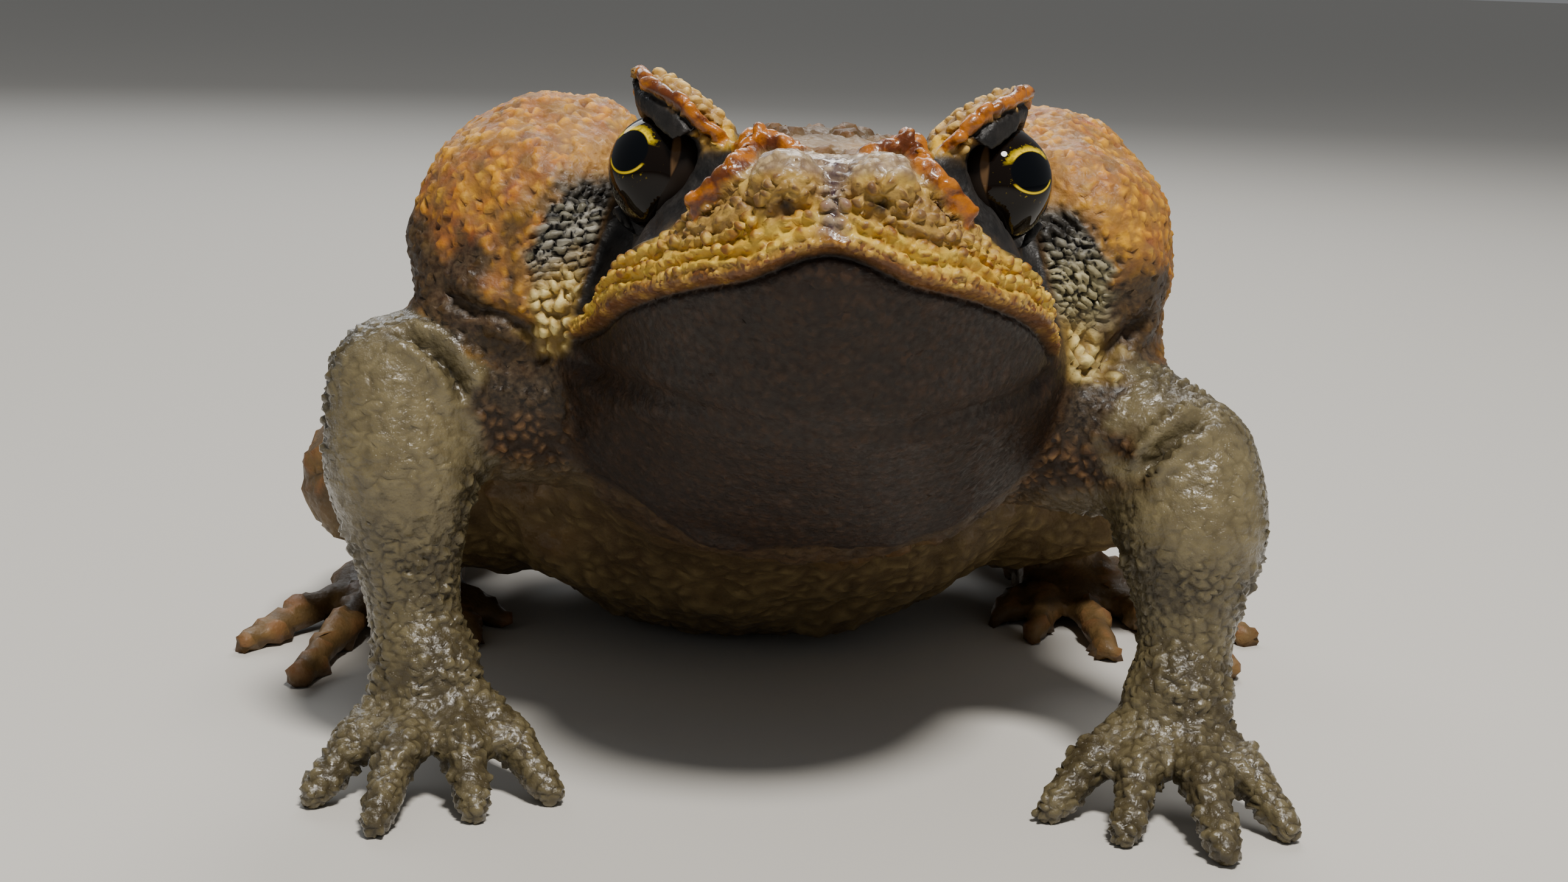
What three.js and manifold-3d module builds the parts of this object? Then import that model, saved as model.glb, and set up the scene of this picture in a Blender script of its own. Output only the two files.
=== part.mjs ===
// A large adult cane toad at life size, sitting alert with its chest raised on straight forearms.
// Millimetres, +Z up. The toad faces -Y and its left side is +X. It rests on the floor, Z = 0.
// Each body part is a sphere's grid laid over a smooth field of flesh forms, then trimmed by its
// neighbours, so that parts meet face to face with a small gap.
import * as THREE from "three";
import { mergeVertices } from "three/addons/utils/BufferGeometryUtils.js";
import Module from "manifold-3d";

const wasm = await Module();
wasm.setup();

// Driving dimensions, in millimetres and degrees
const GAP = 0.3; // between touching parts
const JAW_HEIGHT = 63; // jaw corners above the floor
const HEAD_PITCH = 23; // snout raised above the horizontal
const HEAD_WIDTH = 65; // across the jaw corners
const HEAD_LENGTH = 50; // jaw corners to snout tip
const EYE_RADIUS = 8.3;
const EYE_AT = { side: 21.6, forward: 20, up: 17.4 };
const BROW_ROLL = 34; // the lids rise outward at this angle
const NECK_FORWARD = -8; // where the head is parted from the trunk
const BODY_WIDTH = 110;
const BODY_PITCH = 14;
const BODY_YAW = 8; // the head is turned this much from the body, to its left
const GLAND = { side: 38, back: 27, up: 76, width: 19.5, length: 28, height: 19.5 };

const ELBOW_RADIUS = 9.6;
const WRIST_RADIUS = 6.4;
const FINGER_RADIUS = 3.0;
const TOE_RADIUS = 2.7;
const FLOOR_SINK = 0.7; // how much of a fingertip the floor flattens

const V = (x, y, z) => new THREE.Vector3(x, y, z);
const degrees = THREE.MathUtils.degToRad;
const SIDES = { left: 1, right: -1 };

// A seeded draw between 0 and 1
let seed = 20417;
const draw = () => {
  seed = (seed * 16807) % 2147483647;
  return seed / 2147483647;
};
const between = (low, high) => low + (high - low) * draw();

// Fields: a distance to a form's surface in mm, negative inside
const smooth = (a, b, softness) => {
  const h = Math.max(softness - Math.abs(a - b), 0) / softness;
  return Math.min(a, b) - h * h * softness * 0.25;
};
const blend = (softness, ...fields) => (p) => {
  let d = fields[0](p);
  for (let i = 1; i < fields.length; i++) d = smooth(d, fields[i](p), softness);
  return d;
};

// An egg-shaped mass; turn takes its own axes to the world's
function mass(centre, radii, turn = new THREE.Quaternion()) {
  const back = turn.clone().invert();
  const q = V(0, 0, 0);
  return (p) => {
    q.copy(p).sub(centre).applyQuaternion(back);
    const near = Math.hypot(q.x / radii.x, q.y / radii.y, q.z / radii.z);
    const slope = Math.hypot(q.x / radii.x ** 2, q.y / radii.y ** 2, q.z / radii.z ** 2);
    return slope < 1e-9 ? -Math.min(radii.x, radii.y, radii.z) : (near * (near - 1)) / slope;
  };
}

// A tapered round limb from a to b
function limb(a, b, radiusA, radiusB) {
  const along = b.clone().sub(a);
  const q = V(0, 0, 0);
  return (p) => {
    q.copy(p).sub(a);
    const t = THREE.MathUtils.clamp(q.dot(along) / along.lengthSq(), 0, 1);
    q.addScaledVector(along, -t);
    return q.length() - THREE.MathUtils.lerp(radiusA, radiusB, t);
  };
}

// A run of limbs through several points, each with its own radius
function chain(points, radii, softness = 2) {
  const runs = [];
  for (let i = 1; i < points.length; i++) {
    runs.push(limb(points[i - 1], points[i], radii[i - 1], radii[i]));
  }
  return blend(softness, ...runs);
}

const pitched = (pitch) => new THREE.Quaternion().setFromEuler(new THREE.Euler(degrees(-pitch), 0, 0));

// Lays a sphere's grid over a field. Each vertex leaves the core line and stops at the skin.
function wrap(field, core, around, along, grow = 0, reach = 90) {
  const grid = new THREE.SphereGeometry(1, around, along);
  const at = grid.getAttribute("position");
  const line = new THREE.CatmullRomCurve3(core);
  const step = 1.5;
  const direction = V(0, 0, 0);
  const across = V(0, 0, 0);
  const upward = V(0, 0, 0);
  const p = V(0, 0, 0);
  for (let i = 0; i < at.count; i++) {
    const latitude = Math.acos(THREE.MathUtils.clamp(at.getY(i), -1, 1)) / Math.PI;
    const start = line.getPointAt(latitude);
    const tangent = line.getTangentAt(latitude);
    const reference = Math.abs(tangent.z) > 0.9 ? V(0, -1, 0) : V(0, 0, 1);
    across.crossVectors(tangent, reference).normalize();
    upward.crossVectors(across, tangent);
    direction.copy(tangent).multiplyScalar(-at.getY(i));
    direction.addScaledVector(across, at.getX(i)).addScaledVector(upward, at.getZ(i));
    const beyond = (r) => field(p.copy(start).addScaledVector(direction, r)) - grow > 0;
    let low = 0;
    while (low < reach && !beyond(low + step)) low += step;
    let high = low + step;
    for (let k = 0; k < 10; k++) {
      const middle = (low + high) / 2;
      if (beyond(middle)) high = middle;
      else low = middle;
    }
    p.copy(start).addScaledVector(direction, low);
    at.setXYZ(i, p.x, p.y, p.z);
  }
  return solidOf(grid);
}

// A geometry as a closed solid, its seams merged and its faces turned outward
function solidOf(geometry, matrix = new THREE.Matrix4()) {
  const bare = geometry.clone().applyMatrix4(matrix);
  bare.deleteAttribute("normal");
  bare.deleteAttribute("uv");
  const merged = mergeVertices(bare, 1e-4);
  const position = merged.getAttribute("position").array;
  const corners = [];
  const index = merged.index.array;
  for (let i = 0; i < index.length; i += 3) {
    const [a, b, c] = [index[i], index[i + 1], index[i + 2]];
    if (a !== b && b !== c && c !== a) corners.push(a, b, c);
  }
  const build = () => {
    const mesh = { numProp: 3, vertProperties: position, triVerts: new Uint32Array(corners) };
    return new wasm.Manifold(new wasm.Mesh(mesh));
  };
  const made = build();
  if (made.volume() > 0) return made;
  for (let i = 0; i < corners.length; i += 3) {
    [corners[i + 1], corners[i + 2]] = [corners[i + 2], corners[i + 1]];
  }
  return build();
}

function geometryOf(solid) {
  const { vertProperties, triVerts, numProp } = solid.getMesh();
  const at = new Float32Array((vertProperties.length / numProp) * 3);
  for (let i = 0; i < at.length / 3; i++) {
    at.set(vertProperties.subarray(i * numProp, i * numProp + 3), i * 3);
  }
  const geometry = new THREE.BufferGeometry();
  geometry.setAttribute("position", new THREE.BufferAttribute(at, 3));
  geometry.setIndex(new THREE.BufferAttribute(new Uint32Array(triVerts), 1));
  geometry.computeVertexNormals();
  return geometry;
}

const largest = (solid) => solid.decompose().reduce((a, b) => (b.volume() > a.volume() ? b : a));
const less = (solid, ...tools) => tools.reduce((made, tool) => made.subtract(tool), solid);

// The half of space on the far side of a plane
function halfSpace(point, normal) {
  const size = 600;
  const turn = new THREE.Quaternion().setFromUnitVectors(V(0, 0, 1), normal.clone().normalize());
  const centre = point.clone().addScaledVector(normal.clone().normalize(), size / 2);
  const box = new THREE.BoxGeometry(size, size, size);
  return solidOf(box, new THREE.Matrix4().compose(centre, turn, V(1, 1, 1)));
}

// A round bar along a curve, as a closed solid
function bar(points, section, steps) {
  const shape = new THREE.Shape(section);
  const path = new THREE.CatmullRomCurve3(points);
  return solidOf(new THREE.ExtrudeGeometry(shape, { steps, bevelEnabled: false, extrudePath: path }));
}
function ring(radius, corners) {
  const points = [];
  for (let i = 0; i < corners; i++) {
    const a = (2 * Math.PI * i) / corners;
    points.push(new THREE.Vector2(radius * Math.cos(a), radius * Math.sin(a)));
  }
  return points;
}

const floor = halfSpace(V(0, 0, 0), V(0, 0, -1));

// The head has a frame of its own: side is the toad's left, forward is towards the snout
const headTurn = pitched(HEAD_PITCH);
const forwardAxis = V(0, -1, 0).applyQuaternion(headTurn);
const upAxis = V(0, 0, 1).applyQuaternion(headTurn);
const headPoint = (side, forward, up) =>
  V(side, 0, JAW_HEIGHT).addScaledVector(forwardAxis, forward).addScaledVector(upAxis, up);
const headMass = (side, forward, up, width, length, height, tilt = 0, roll = 0) => {
  const turn = new THREE.Quaternion().setFromEuler(new THREE.Euler(degrees(-tilt), degrees(-roll), 0));
  return mass(headPoint(side, forward, up), V(width, length, height), headTurn.clone().multiply(turn));
};
const bothSides = (make) => Object.values(SIDES).map(make);

// The body has a frame of its own too, turned about the upright through the jaw corners
const bodyYaw = new THREE.Quaternion().setFromAxisAngle(V(0, 0, 1), degrees(BODY_YAW));
const bodyPoint = (side, back, up) => V(side, back, up).applyQuaternion(bodyYaw);
const bodyMass = (side, back, up, width, length, height, pitch = BODY_PITCH) =>
  mass(bodyPoint(side, back, up), V(width, length, height), bodyYaw.clone().multiply(pitched(pitch)));

// The trunk is broad over the shoulders, narrow at the chest, and sags onto the floor behind
const trunkField = blend(
  12,
  bodyMass(0, 15, 50, 37, 35, 23),
  bodyMass(0, 36, 61, BODY_WIDTH / 2 - 3, 48, 27.5),
  bodyMass(0, 72, 39, BODY_WIDTH / 2, 48, 40),
  bodyMass(0, 104, 24, 31, 22, 23),
);

const jawHalf = HEAD_WIDTH / 2;
const skullField = blend(
  5,
  headMass(0, -1, 0, jawHalf, HEAD_LENGTH - 2, 8),
  headMass(0, 6, 2.5, 26, 38, 11),
  headMass(0, 33.5, 5, 16, 14.5, 9.7),
  ...bothSides((s) => headMass(s * 19, 16, 3.5, 9, 14, 7)),
  ...bothSides((s) => headMass(s * 11.2, 19, 12.5, 4, 13.5, 4.5)),
  ...bothSides((s) => headMass(s * 14.3, 25, 12.5, 6, 6, 10)),
);
const jawField = blend(
  6,
  headMass(0, -2, -4.5, jawHalf - 0.6, HEAD_LENGTH - 2.5, 10),
  headMass(0, -4, -11, jawHalf - 4, 40, 14),
);

// Bony crests run from the snout round the front of each eye and back over it
const CREST_RADIUS = 2.5;
const crests = bothSides((s) => {
  const along = (...places) => places.map(([side, ahead, up]) => headPoint(s * side, ahead, up));
  const inward = along([9.6, 32, 12.5], [9.6, 34, 15.2], [3, 38.5, 13.6]);
  const before = along([9.6, 34, 15.2], [12.4, 36.5, 11.5], [15.8, 36, 7], [18.2, 31.5, 1]);
  const over = along([9.6, 34, 15.2], [11, 17, 16], [13.5, 2, 14], [22, -3, 11]);
  return [
    bar(inward, ring(CREST_RADIUS * 0.75, 6), 4),
    bar(before, ring(CREST_RADIUS, 7), 7),
    bar(over, ring(CREST_RADIUS * 0.8, 6), 7),
  ];
});
const nostrilMounds = bothSides((s) => headMass(s * 6.6, 42.5, 8.2, 5.2, 5, 5.2));
const headField = blend(2, blend(6, skullField, jawField, trunkField), ...nostrilMounds);

const eyeAt = (s) => headPoint(s * EYE_AT.side, EYE_AT.forward, EYE_AT.up);
const ball = (centre, radius, wide = 16, high = 12) =>
  solidOf(new THREE.SphereGeometry(radius, wide, high), new THREE.Matrix4().setPosition(centre));

// Upper lid: a thin tilted brow over the eye, its outer rim the highest point of the head
function upperLid(s) {
  const rim = [
    headPoint(s * 12.8, 31.5, 16.2),
    headPoint(s * 19, 30.5, 21.6),
    headPoint(s * 27, 24, 28.2),
    headPoint(s * 27.6, 14, 28.2),
    headPoint(s * 22, 5, 21.5),
  ];
  const brow = blend(
    2,
    headMass(s * 19, EYE_AT.forward - 1, 23.2, 11, 12.2, 3.3, 0, s * BROW_ROLL),
    chain(rim, [1.5, 1.6, 1.7, 1.6, 1.5]),
  );
  return wrap(brow, [headPoint(s * 18.6, 24, 23), headPoint(s * 18.6, 14, 23)], 13, 10);
}

// Lower lid: a soft rim under the eyeball, from its front corner to its back corner.
// It lies in a plane square to the eye's gaze, which points outward and forward.
const GAZE = degrees(40); // forward of straight out
const LID_OUT = 2.5; // from the eye's middle to that plane
const LID_RADIUS = 8.9;
function lowerLid(s) {
  const points = [];
  for (let i = 0; i <= 8; i++) {
    const a = degrees(-160 + (140 * i) / 8);
    const [along, up] = [LID_RADIUS * Math.cos(a), LID_RADIUS * Math.sin(a)];
    const out = LID_OUT * Math.cos(GAZE) - along * Math.sin(GAZE);
    const ahead = LID_OUT * Math.sin(GAZE) + along * Math.cos(GAZE);
    points.push(headPoint(s * (EYE_AT.side + out), EYE_AT.forward + ahead, EYE_AT.up + up));
  }
  return bar(points, ring(1.4, 6), 8);
}

const neckPoint = (ahead) => headPoint(0, NECK_FORWARD + ahead, 0);
const behindNeck = halfSpace(neckPoint(GAP / 2), forwardAxis.clone().negate());
const beforeNeck = halfSpace(neckPoint(-GAP / 2), forwardAxis);

const headCore = [headPoint(0, -6, 1), headPoint(0, 12, 3), headPoint(0, 32, 5)];
const wholeHead = wrap(headField, headCore, 38, 26);

// The mouth's line arches up at the snout and droops to the corners, with a groove along the lips
const MOUTH_UP = -0.5;
const BEAK = 2.6; // how far the lip falls beside its middle
const BEAK_HALF = 15; // how far from the middle it has fallen
const LIP_SLOPE = 0.015;
function mouthUp(side) {
  const out = Math.abs(side);
  return MOUTH_UP - BEAK * THREE.MathUtils.smoothstep(out, 0, BEAK_HALF) - LIP_SLOPE * out;
}
function mouthSide(offset, away) {
  const far = 70;
  const profile = [new THREE.Vector2(-far, away), new THREE.Vector2(-far, mouthUp(far) + offset)];
  for (let side = -45; side <= 45; side += 3) {
    profile.push(new THREE.Vector2(side, mouthUp(side) + offset));
  }
  profile.push(new THREE.Vector2(far, mouthUp(far) + offset), new THREE.Vector2(far, away));
  const section = new THREE.Shape(profile);
  const shape = new THREE.ExtrudeGeometry(section, { depth: 2 * far, bevelEnabled: false });
  const lie = new THREE.Matrix4().makeBasis(V(1, 0, 0), upAxis, forwardAxis.clone().negate());
  return solidOf(shape, lie.setPosition(headPoint(0, far, 0)));
}
const aboveMouth = mouthSide(-GAP / 2, 80);
const belowMouth = mouthSide(GAP / 2, -80);
function lipGroove() {
  const points = [];
  const p = V(0, 0, 0);
  const count = 30;
  for (let i = 0; i <= count; i++) {
    const a = degrees(-8 + (196 * i) / count);
    const [side, forward] = [Math.cos(a), Math.sin(a)];
    let r = 20;
    const lip = () => headPoint(side * r, forward * r, mouthUp(side * r));
    while (headField(p.copy(lip())) < 0 && r < 70) r += 0.2;
    points.push(p.clone());
  }
  return bar(points, ring(1.1, 4), 34);
}
const eyeSockets = bothSides((s) => ball(eyeAt(s), EYE_RADIUS + GAP));
const nostrils = bothSides((s) => ball(headPoint(s * 5.9, 47.4, 7.8), 1.3, 8, 6));
function onSkin(field, from, direction) {
  const p = from.clone();
  while (field(p) < 0) p.addScaledVector(direction, 0.25);
  return p;
}
const drumTurn = (s) => V(s * 0.9, 0, 0).addScaledVector(upAxis, 0.42).normalize();
const drumAt = (s) => onSkin(headField, headPoint(s * 12, 4, 3), drumTurn(s));
const DRUM_RADIUS = 4.2;
function drum(s, radius, depth) {
  const turn = new THREE.Quaternion().setFromUnitVectors(V(0, 1, 0), drumTurn(s));
  const centre = drumAt(s).addScaledVector(drumTurn(s), 0.7 - depth / 2);
  const disc = new THREE.CylinderGeometry(radius, radius, depth, 18);
  return solidOf(disc, new THREE.Matrix4().compose(centre, turn, V(1, 1, 1)));
}

const groove = lipGroove();
const lids = bothSides((s) => [upperLid(s), lowerLid(s)]);
const dressedHead = [...lids, ...crests].flat().reduce((a, b) => a.add(b), wholeHead);
const headCut = less(dressedHead, behindNeck, ...eyeSockets, ...nostrils, groove);
const DRUM_DEPTH = 2;
const drumPockets = bothSides((s) => drum(s, DRUM_RADIUS + GAP, DRUM_DEPTH + GAP));
const head = largest(less(headCut, belowMouth, ...drumPockets));
const jaw = largest(less(headCut, aboveMouth));

// The parotoid glands, swollen behind the eyes and over the shoulders
const glandFields = bothSides((s) => {
  const lean = new THREE.Euler(degrees(-12), degrees(s * 28), degrees(s * 10));
  const turn = new THREE.Quaternion().setFromEuler(lean).premultiply(bodyYaw);
  const swelling = (side, back, up, ...radii) => mass(bodyPoint(s * side, back, up), V(...radii), turn);
  return blend(
    7,
    swelling(GLAND.side, GLAND.back, GLAND.up, GLAND.width, GLAND.length, GLAND.height),
    swelling(GLAND.side + 3, 17, 66, 14, 17, 13),
    swelling(GLAND.side + 2, 48, 66, 13, 20, 13),
  );
});
function glandWrap(s, grow) {
  const field = glandFields[s === SIDES.left ? 0 : 1];
  const corePoint = (back) => bodyPoint(s * GLAND.side, GLAND.back + back, GLAND.up - back * 0.2);
  const core = [-14, 14].map(corePoint);
  return wrap(field, core, 18, 12, grow);
}
const glandSolid = (s) =>
  less(glandWrap(s, 0), trunkGrown, headGrown, drum(s, DRUM_RADIUS + 2 * GAP, 6));

// Trunk, with rows of warts down the back and flanks
const SPINE_START = { back: 18, up: 58 };
const SPINE_END = { back: 98, up: 27 };
const spinePoint = ({ back, up }) => bodyPoint(0, back, up);
const trunkCore = [SPINE_START, { back: 42, up: 52 }, { back: 70, up: 42 }, SPINE_END].map(spinePoint);
const trunkSkin = wrap(headField, trunkCore, 26, 18);
function warts(count) {
  const made = [];
  for (let i = 0; i < count; i++) {
    const share = (i + 0.5) / count;
    const back = 16 + 92 * share + between(-4, 4);
    const lean = degrees(((i * 137.5) % 150) - 75 + between(-6, 6));
    const core = bodyPoint(0, back, THREE.MathUtils.lerp(SPINE_START.up, SPINE_END.up, share));
    const direction = bodyPoint(Math.sin(lean), 0, Math.cos(lean));
    const size = between(2.2, 4.0);
    const at = onSkin(trunkField, core, direction);
    if (glandFields.some((field) => field(at) < size + 1)) continue;
    const shape = new THREE.SphereGeometry(size, 6, 4);
    const turn = new THREE.Quaternion().setFromUnitVectors(V(0, 1, 0), direction);
    at.addScaledVector(direction, -0.35 * size);
    made.push(solidOf(shape, new THREE.Matrix4().compose(at, turn, V(1, 0.75, 1))));
  }
  return made;
}
const trunkPlain = less(trunkSkin, beforeNeck, floor);
const wartyTrunk = warts(26).reduce((a, b) => a.add(b), trunkPlain);
const trunk = largest(less(wartyTrunk, beforeNeck, floor));
const trunkGrown = wrap(headField, trunkCore, 26, 18, GAP);
const headGrown = wrap(headField, headCore, 38, 26, GAP);

const parts = [];
const keep = (name, solid, finish) => parts.push({ name, solid: largest(solid), finish });
keep("head", head, "face");
keep("lower_jaw", jaw, "throat");
keep("trunk", trunk, "back");
for (const [side, s] of Object.entries(SIDES)) {
  keep(`eye_${side}`, ball(eyeAt(s), EYE_RADIUS), "eye");
  keep(`eardrum_${side}`, drum(s, DRUM_RADIUS, DRUM_DEPTH), "face");
  keep(`gland_${side}`, glandSolid(s), "gland");
}

// A digit: three bones ending in a blunt pad that rests on the floor
function digit(root, tip, radius, arch) {
  const middle = root.clone().lerp(tip, 0.5).add(V(0, 0, arch));
  const beforeTip = root.clone().lerp(tip, 0.82).add(V(0, 0, arch * 0.25));
  const points = [root, middle, beforeTip, tip];
  const field = blend(
    1.2,
    chain(points, [radius * 1.12, radius * 0.92, radius * 0.84, radius * 0.86], 1),
    mass(middle, V(radius * 1.12, radius * 1.12, radius * 1.05)),
  );
  return { field, core: points };
}
const digitSolid = ({ field, core }, grow = 0) => wrap(field, core, 7, 8, grow, 12);

// Fore limb: shoulder, elbow and wrist are each side's own, as the photo's arms differ a little
const ARMS = {
  left: { elbow: V(54.5, 2, 46.5), wrist: V(54, -5, 21), palm: V(51.5, -12, 10.5) },
  right: { elbow: V(-61, -1, 55), wrist: V(-57.5, -5, 22), palm: V(-53.5, -12, 11) },
};
const SHOULDER = { side: 31, back: 22, up: 51 };
const FINGERS = [
  { name: "inner", turn: 46, reach: 17, spread: -5.5 },
  { name: "second", turn: 18, reach: 19, spread: -2.5 },
  { name: "third", turn: -5, reach: 24, spread: 1.8 },
  { name: "outer", turn: -30, reach: 18, spread: 5 },
];
for (const [side, s] of Object.entries(SIDES)) {
  const { elbow, wrist, palm } = ARMS[side];
  const shoulder = bodyPoint(s * SHOULDER.side, SHOULDER.back, SHOULDER.up);
  const muscle = mass(shoulder.clone().lerp(elbow, 0.35), V(17, 15, 14));
  const upperField = blend(4, limb(shoulder, elbow, 14.5, ELBOW_RADIUS), muscle);
  const upperCore = [shoulder, shoulder.clone().lerp(elbow, 0.95)];
  const upper = (grow) => wrap(upperField, upperCore, 15, 10, grow);
  keep(`upper_arm_${side}`, less(upper(0), trunkGrown, headGrown, glandWrap(s, GAP)), "forelimb");

  const bulge = elbow.clone().lerp(wrist, 0.36);
  const nearElbow = limb(elbow, bulge, ELBOW_RADIUS, 10.4);
  const foreField = blend(4, nearElbow, limb(bulge, wrist, 10.2, WRIST_RADIUS));
  const foreCore = [elbow, elbow.clone().lerp(wrist, 0.95)];
  const fore = (grow) => wrap(foreField, foreCore, 15, 11, grow);
  keep(`forearm_${side}`, less(fore(0), upper(GAP), trunkGrown), "forelimb");

  const reaching = palm.clone().sub(wrist).normalize();
  const handTurn = new THREE.Quaternion().setFromUnitVectors(V(0, -1, 0), reaching);
  const handField = blend(
    4,
    limb(wrist, wrist.clone().lerp(palm, 0.5), WRIST_RADIUS, 5.4),
    mass(wrist.clone().lerp(palm, 0.72), V(7.9, 8, 4.8), handTurn),
  );
  const handCore = [wrist, wrist.clone().lerp(palm, 0.85)];
  const hand = (grow) => wrap(handField, handCore, 14, 11, grow);
  keep(`hand_${side}`, less(hand(0), fore(GAP), floor), "forelimb");

  const taken = [hand(GAP), fore(GAP)];
  for (const finger of FINGERS) {
    const turn = degrees(finger.turn);
    const heading = V(-s * Math.sin(turn), -Math.cos(turn), 0);
    const root = palm.clone().add(V(s * finger.spread, 0.32 * Math.abs(finger.spread), -0.5));
    const tip = root.clone().addScaledVector(heading, finger.reach);
    tip.setZ(FINGER_RADIUS * 0.86 - FLOOR_SINK);
    const made = digit(root, tip, FINGER_RADIUS, 1.2);
    keep(`finger_${finger.name}_${side}`, less(digitSolid(made), ...taken, floor), "forelimb");
    taken.push(digitSolid(made, GAP));
  }
}

// Hind limb, folded: thigh out to the knee, shank back to the heel, foot forward again
const HIP = { side: 20, back: 100, up: 25 };
const KNEE = { side: 65, back: 62, up: 29 };
const HEEL = { side: 49, back: 117, up: 10 };
const FOOT = { side: 59, back: 88, up: 7 };
const TOES = [
  { name: "first", turn: 42, reach: 14, spread: -8 },
  { name: "second", turn: 22, reach: 22, spread: -5 },
  { name: "third", turn: 4, reach: 32, spread: -1 },
  { name: "fourth", turn: -14, reach: 44, spread: 4 },
  { name: "fifth", turn: -36, reach: 28, spread: 8 },
];
for (const [side, s] of Object.entries(SIDES)) {
  const joint = ({ side: x, back, up }) => bodyPoint(s * x, back, up);
  const [hip, knee, heel, foot] = [HIP, KNEE, HEEL, FOOT].map(joint);
  const muscle = mass(hip.clone().lerp(knee, 0.55), V(19, 22, 18.5));
  const thighField = blend(5, limb(hip, knee, 20, 13), muscle);
  const thighCore = [hip.clone().lerp(knee, 0.1), knee.clone().lerp(hip, 0.06)];
  const thigh = (grow) => wrap(thighField, thighCore, 18, 12, grow);
  keep(`thigh_${side}`, less(thigh(0), trunkGrown, floor), "hindlimb");

  const calf = knee.clone().lerp(heel, 0.38);
  const shankField = blend(4, limb(knee, calf, 12, 12.5), limb(calf, heel, 12, 7.6));
  const shankCore = [knee, heel.clone().lerp(knee, 0.05)];
  const shank = (grow) => wrap(shankField, shankCore, 16, 13, grow);
  keep(`shank_${side}`, less(shank(0), thigh(GAP), trunkGrown, floor), "hindlimb");

  const heading = foot.clone().sub(heel).normalize();
  const footTurn = new THREE.Quaternion().setFromUnitVectors(V(0, -1, 0), heading);
  const footField = blend(
    4,
    limb(heel, foot, 7.6, 6.2),
    mass(foot.clone().addScaledVector(heading, 8).add(bodyPoint(s, 0, -2)), V(13.5, 13, 4.4), footTurn),
  );
  const footCore = [heel, foot.clone().addScaledVector(heading, 7)];
  const footSolid = (grow) => wrap(footField, footCore, 14, 12, grow);
  keep(`foot_${side}`, less(footSolid(0), shank(GAP), thigh(GAP), trunkGrown, floor), "hindlimb");

  const taken = [footSolid(GAP), shank(GAP), thigh(GAP), trunkGrown];
  for (const toe of TOES) {
    const turn = degrees(toe.turn);
    const way = bodyPoint(-s * Math.sin(turn), -Math.cos(turn), 0);
    const root = foot.clone().addScaledVector(heading, 9).add(bodyPoint(s * toe.spread, -2, -2.5));
    const tip = root.clone().addScaledVector(way, toe.reach).setZ(TOE_RADIUS * 0.86 - FLOOR_SINK);
    const made = digit(root, tip, TOE_RADIUS, 0.6);
    keep(`toe_${toe.name}_${side}`, less(digitSolid(made), ...taken, floor), "hindlimb");
    taken.push(digitSolid(made, GAP));
  }
}

// Finishes
const FINISHES = {
  face: { color: "#b08a4c", roughness: 0.55 },
  throat: { color: "#7d6347", roughness: 0.6 },
  back: { color: "#8a6338", roughness: 0.6 },
  gland: { color: "#c4863f", roughness: 0.55 },
  eye: { color: "#15130f", roughness: 0.08 },
  forelimb: { color: "#8d8062", roughness: 0.35 },
  hindlimb: { color: "#7c6645", roughness: 0.55 },
};

const toad = new THREE.Group();
for (const { name, solid, finish } of parts) {
  const material = new THREE.MeshStandardMaterial({ ...FINISHES[finish], metalness: 0 });
  const mesh = new THREE.Mesh(geometryOf(solid), material);
  mesh.name = name;
  toad.add(mesh);
}

// The origin is on the floor under the middle of the whole
const reach = new THREE.Box3().setFromObject(toad);
toad.position.set(-(reach.min.x + reach.max.x) / 2, -(reach.min.y + reach.max.y) / 2, -reach.min.z);

export default toad;
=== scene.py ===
"""A cane toad as a still, life-size museum model, in the pose and light of a close portrait.

Sizes are in millimetres in the head's and the body's own frames, and in metres in the world.
The toad faces -Y, its left side is +X and the floor is at Z = 0.
"""
import math

import bmesh
import bpy
import numpy as np
from mathutils import Matrix, Quaternion, Vector
from mathutils.bvhtree import BVHTree
from mathutils.kdtree import KDTree


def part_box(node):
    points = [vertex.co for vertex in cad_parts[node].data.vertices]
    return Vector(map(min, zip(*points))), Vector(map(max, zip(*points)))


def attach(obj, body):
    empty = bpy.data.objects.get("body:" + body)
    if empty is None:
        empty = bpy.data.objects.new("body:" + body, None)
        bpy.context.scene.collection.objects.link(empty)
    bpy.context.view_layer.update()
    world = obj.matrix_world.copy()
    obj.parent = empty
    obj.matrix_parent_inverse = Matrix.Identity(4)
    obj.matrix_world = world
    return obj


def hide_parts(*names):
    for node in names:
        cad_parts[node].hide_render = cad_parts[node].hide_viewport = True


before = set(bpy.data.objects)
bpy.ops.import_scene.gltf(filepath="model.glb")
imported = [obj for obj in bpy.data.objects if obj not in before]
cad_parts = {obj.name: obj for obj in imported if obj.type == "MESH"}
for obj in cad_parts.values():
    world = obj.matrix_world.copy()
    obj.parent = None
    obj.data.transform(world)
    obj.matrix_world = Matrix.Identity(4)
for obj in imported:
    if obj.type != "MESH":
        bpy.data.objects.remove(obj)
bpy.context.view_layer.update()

MM = 0.001
rng = np.random.default_rng(4719)

# The head's frame, found from the two eye sockets

HEAD_PITCH = math.radians(23)
EYE_SPOT = (21.6, 20.0, 17.4)
EYE_RADIUS = 8.3
BODY_YAW = math.radians(8)
forward = Vector((0, -math.cos(HEAD_PITCH), math.sin(HEAD_PITCH)))
upward = Vector((0, math.sin(HEAD_PITCH), math.cos(HEAD_PITCH)))
sideways = Vector((1, 0, 0))


def middle(node):
    low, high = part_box(node)
    return (Vector(low) + Vector(high)) / 2


eyes = {"left": middle("eye_left"), "right": middle("eye_right")}
jaw = (eyes["left"] + eyes["right"]) / 2 - (forward * EYE_SPOT[1] + upward * EYE_SPOT[2]) * MM
HEAD_AXES = np.array([sideways, forward, upward])
JAW = np.array(jaw)


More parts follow.
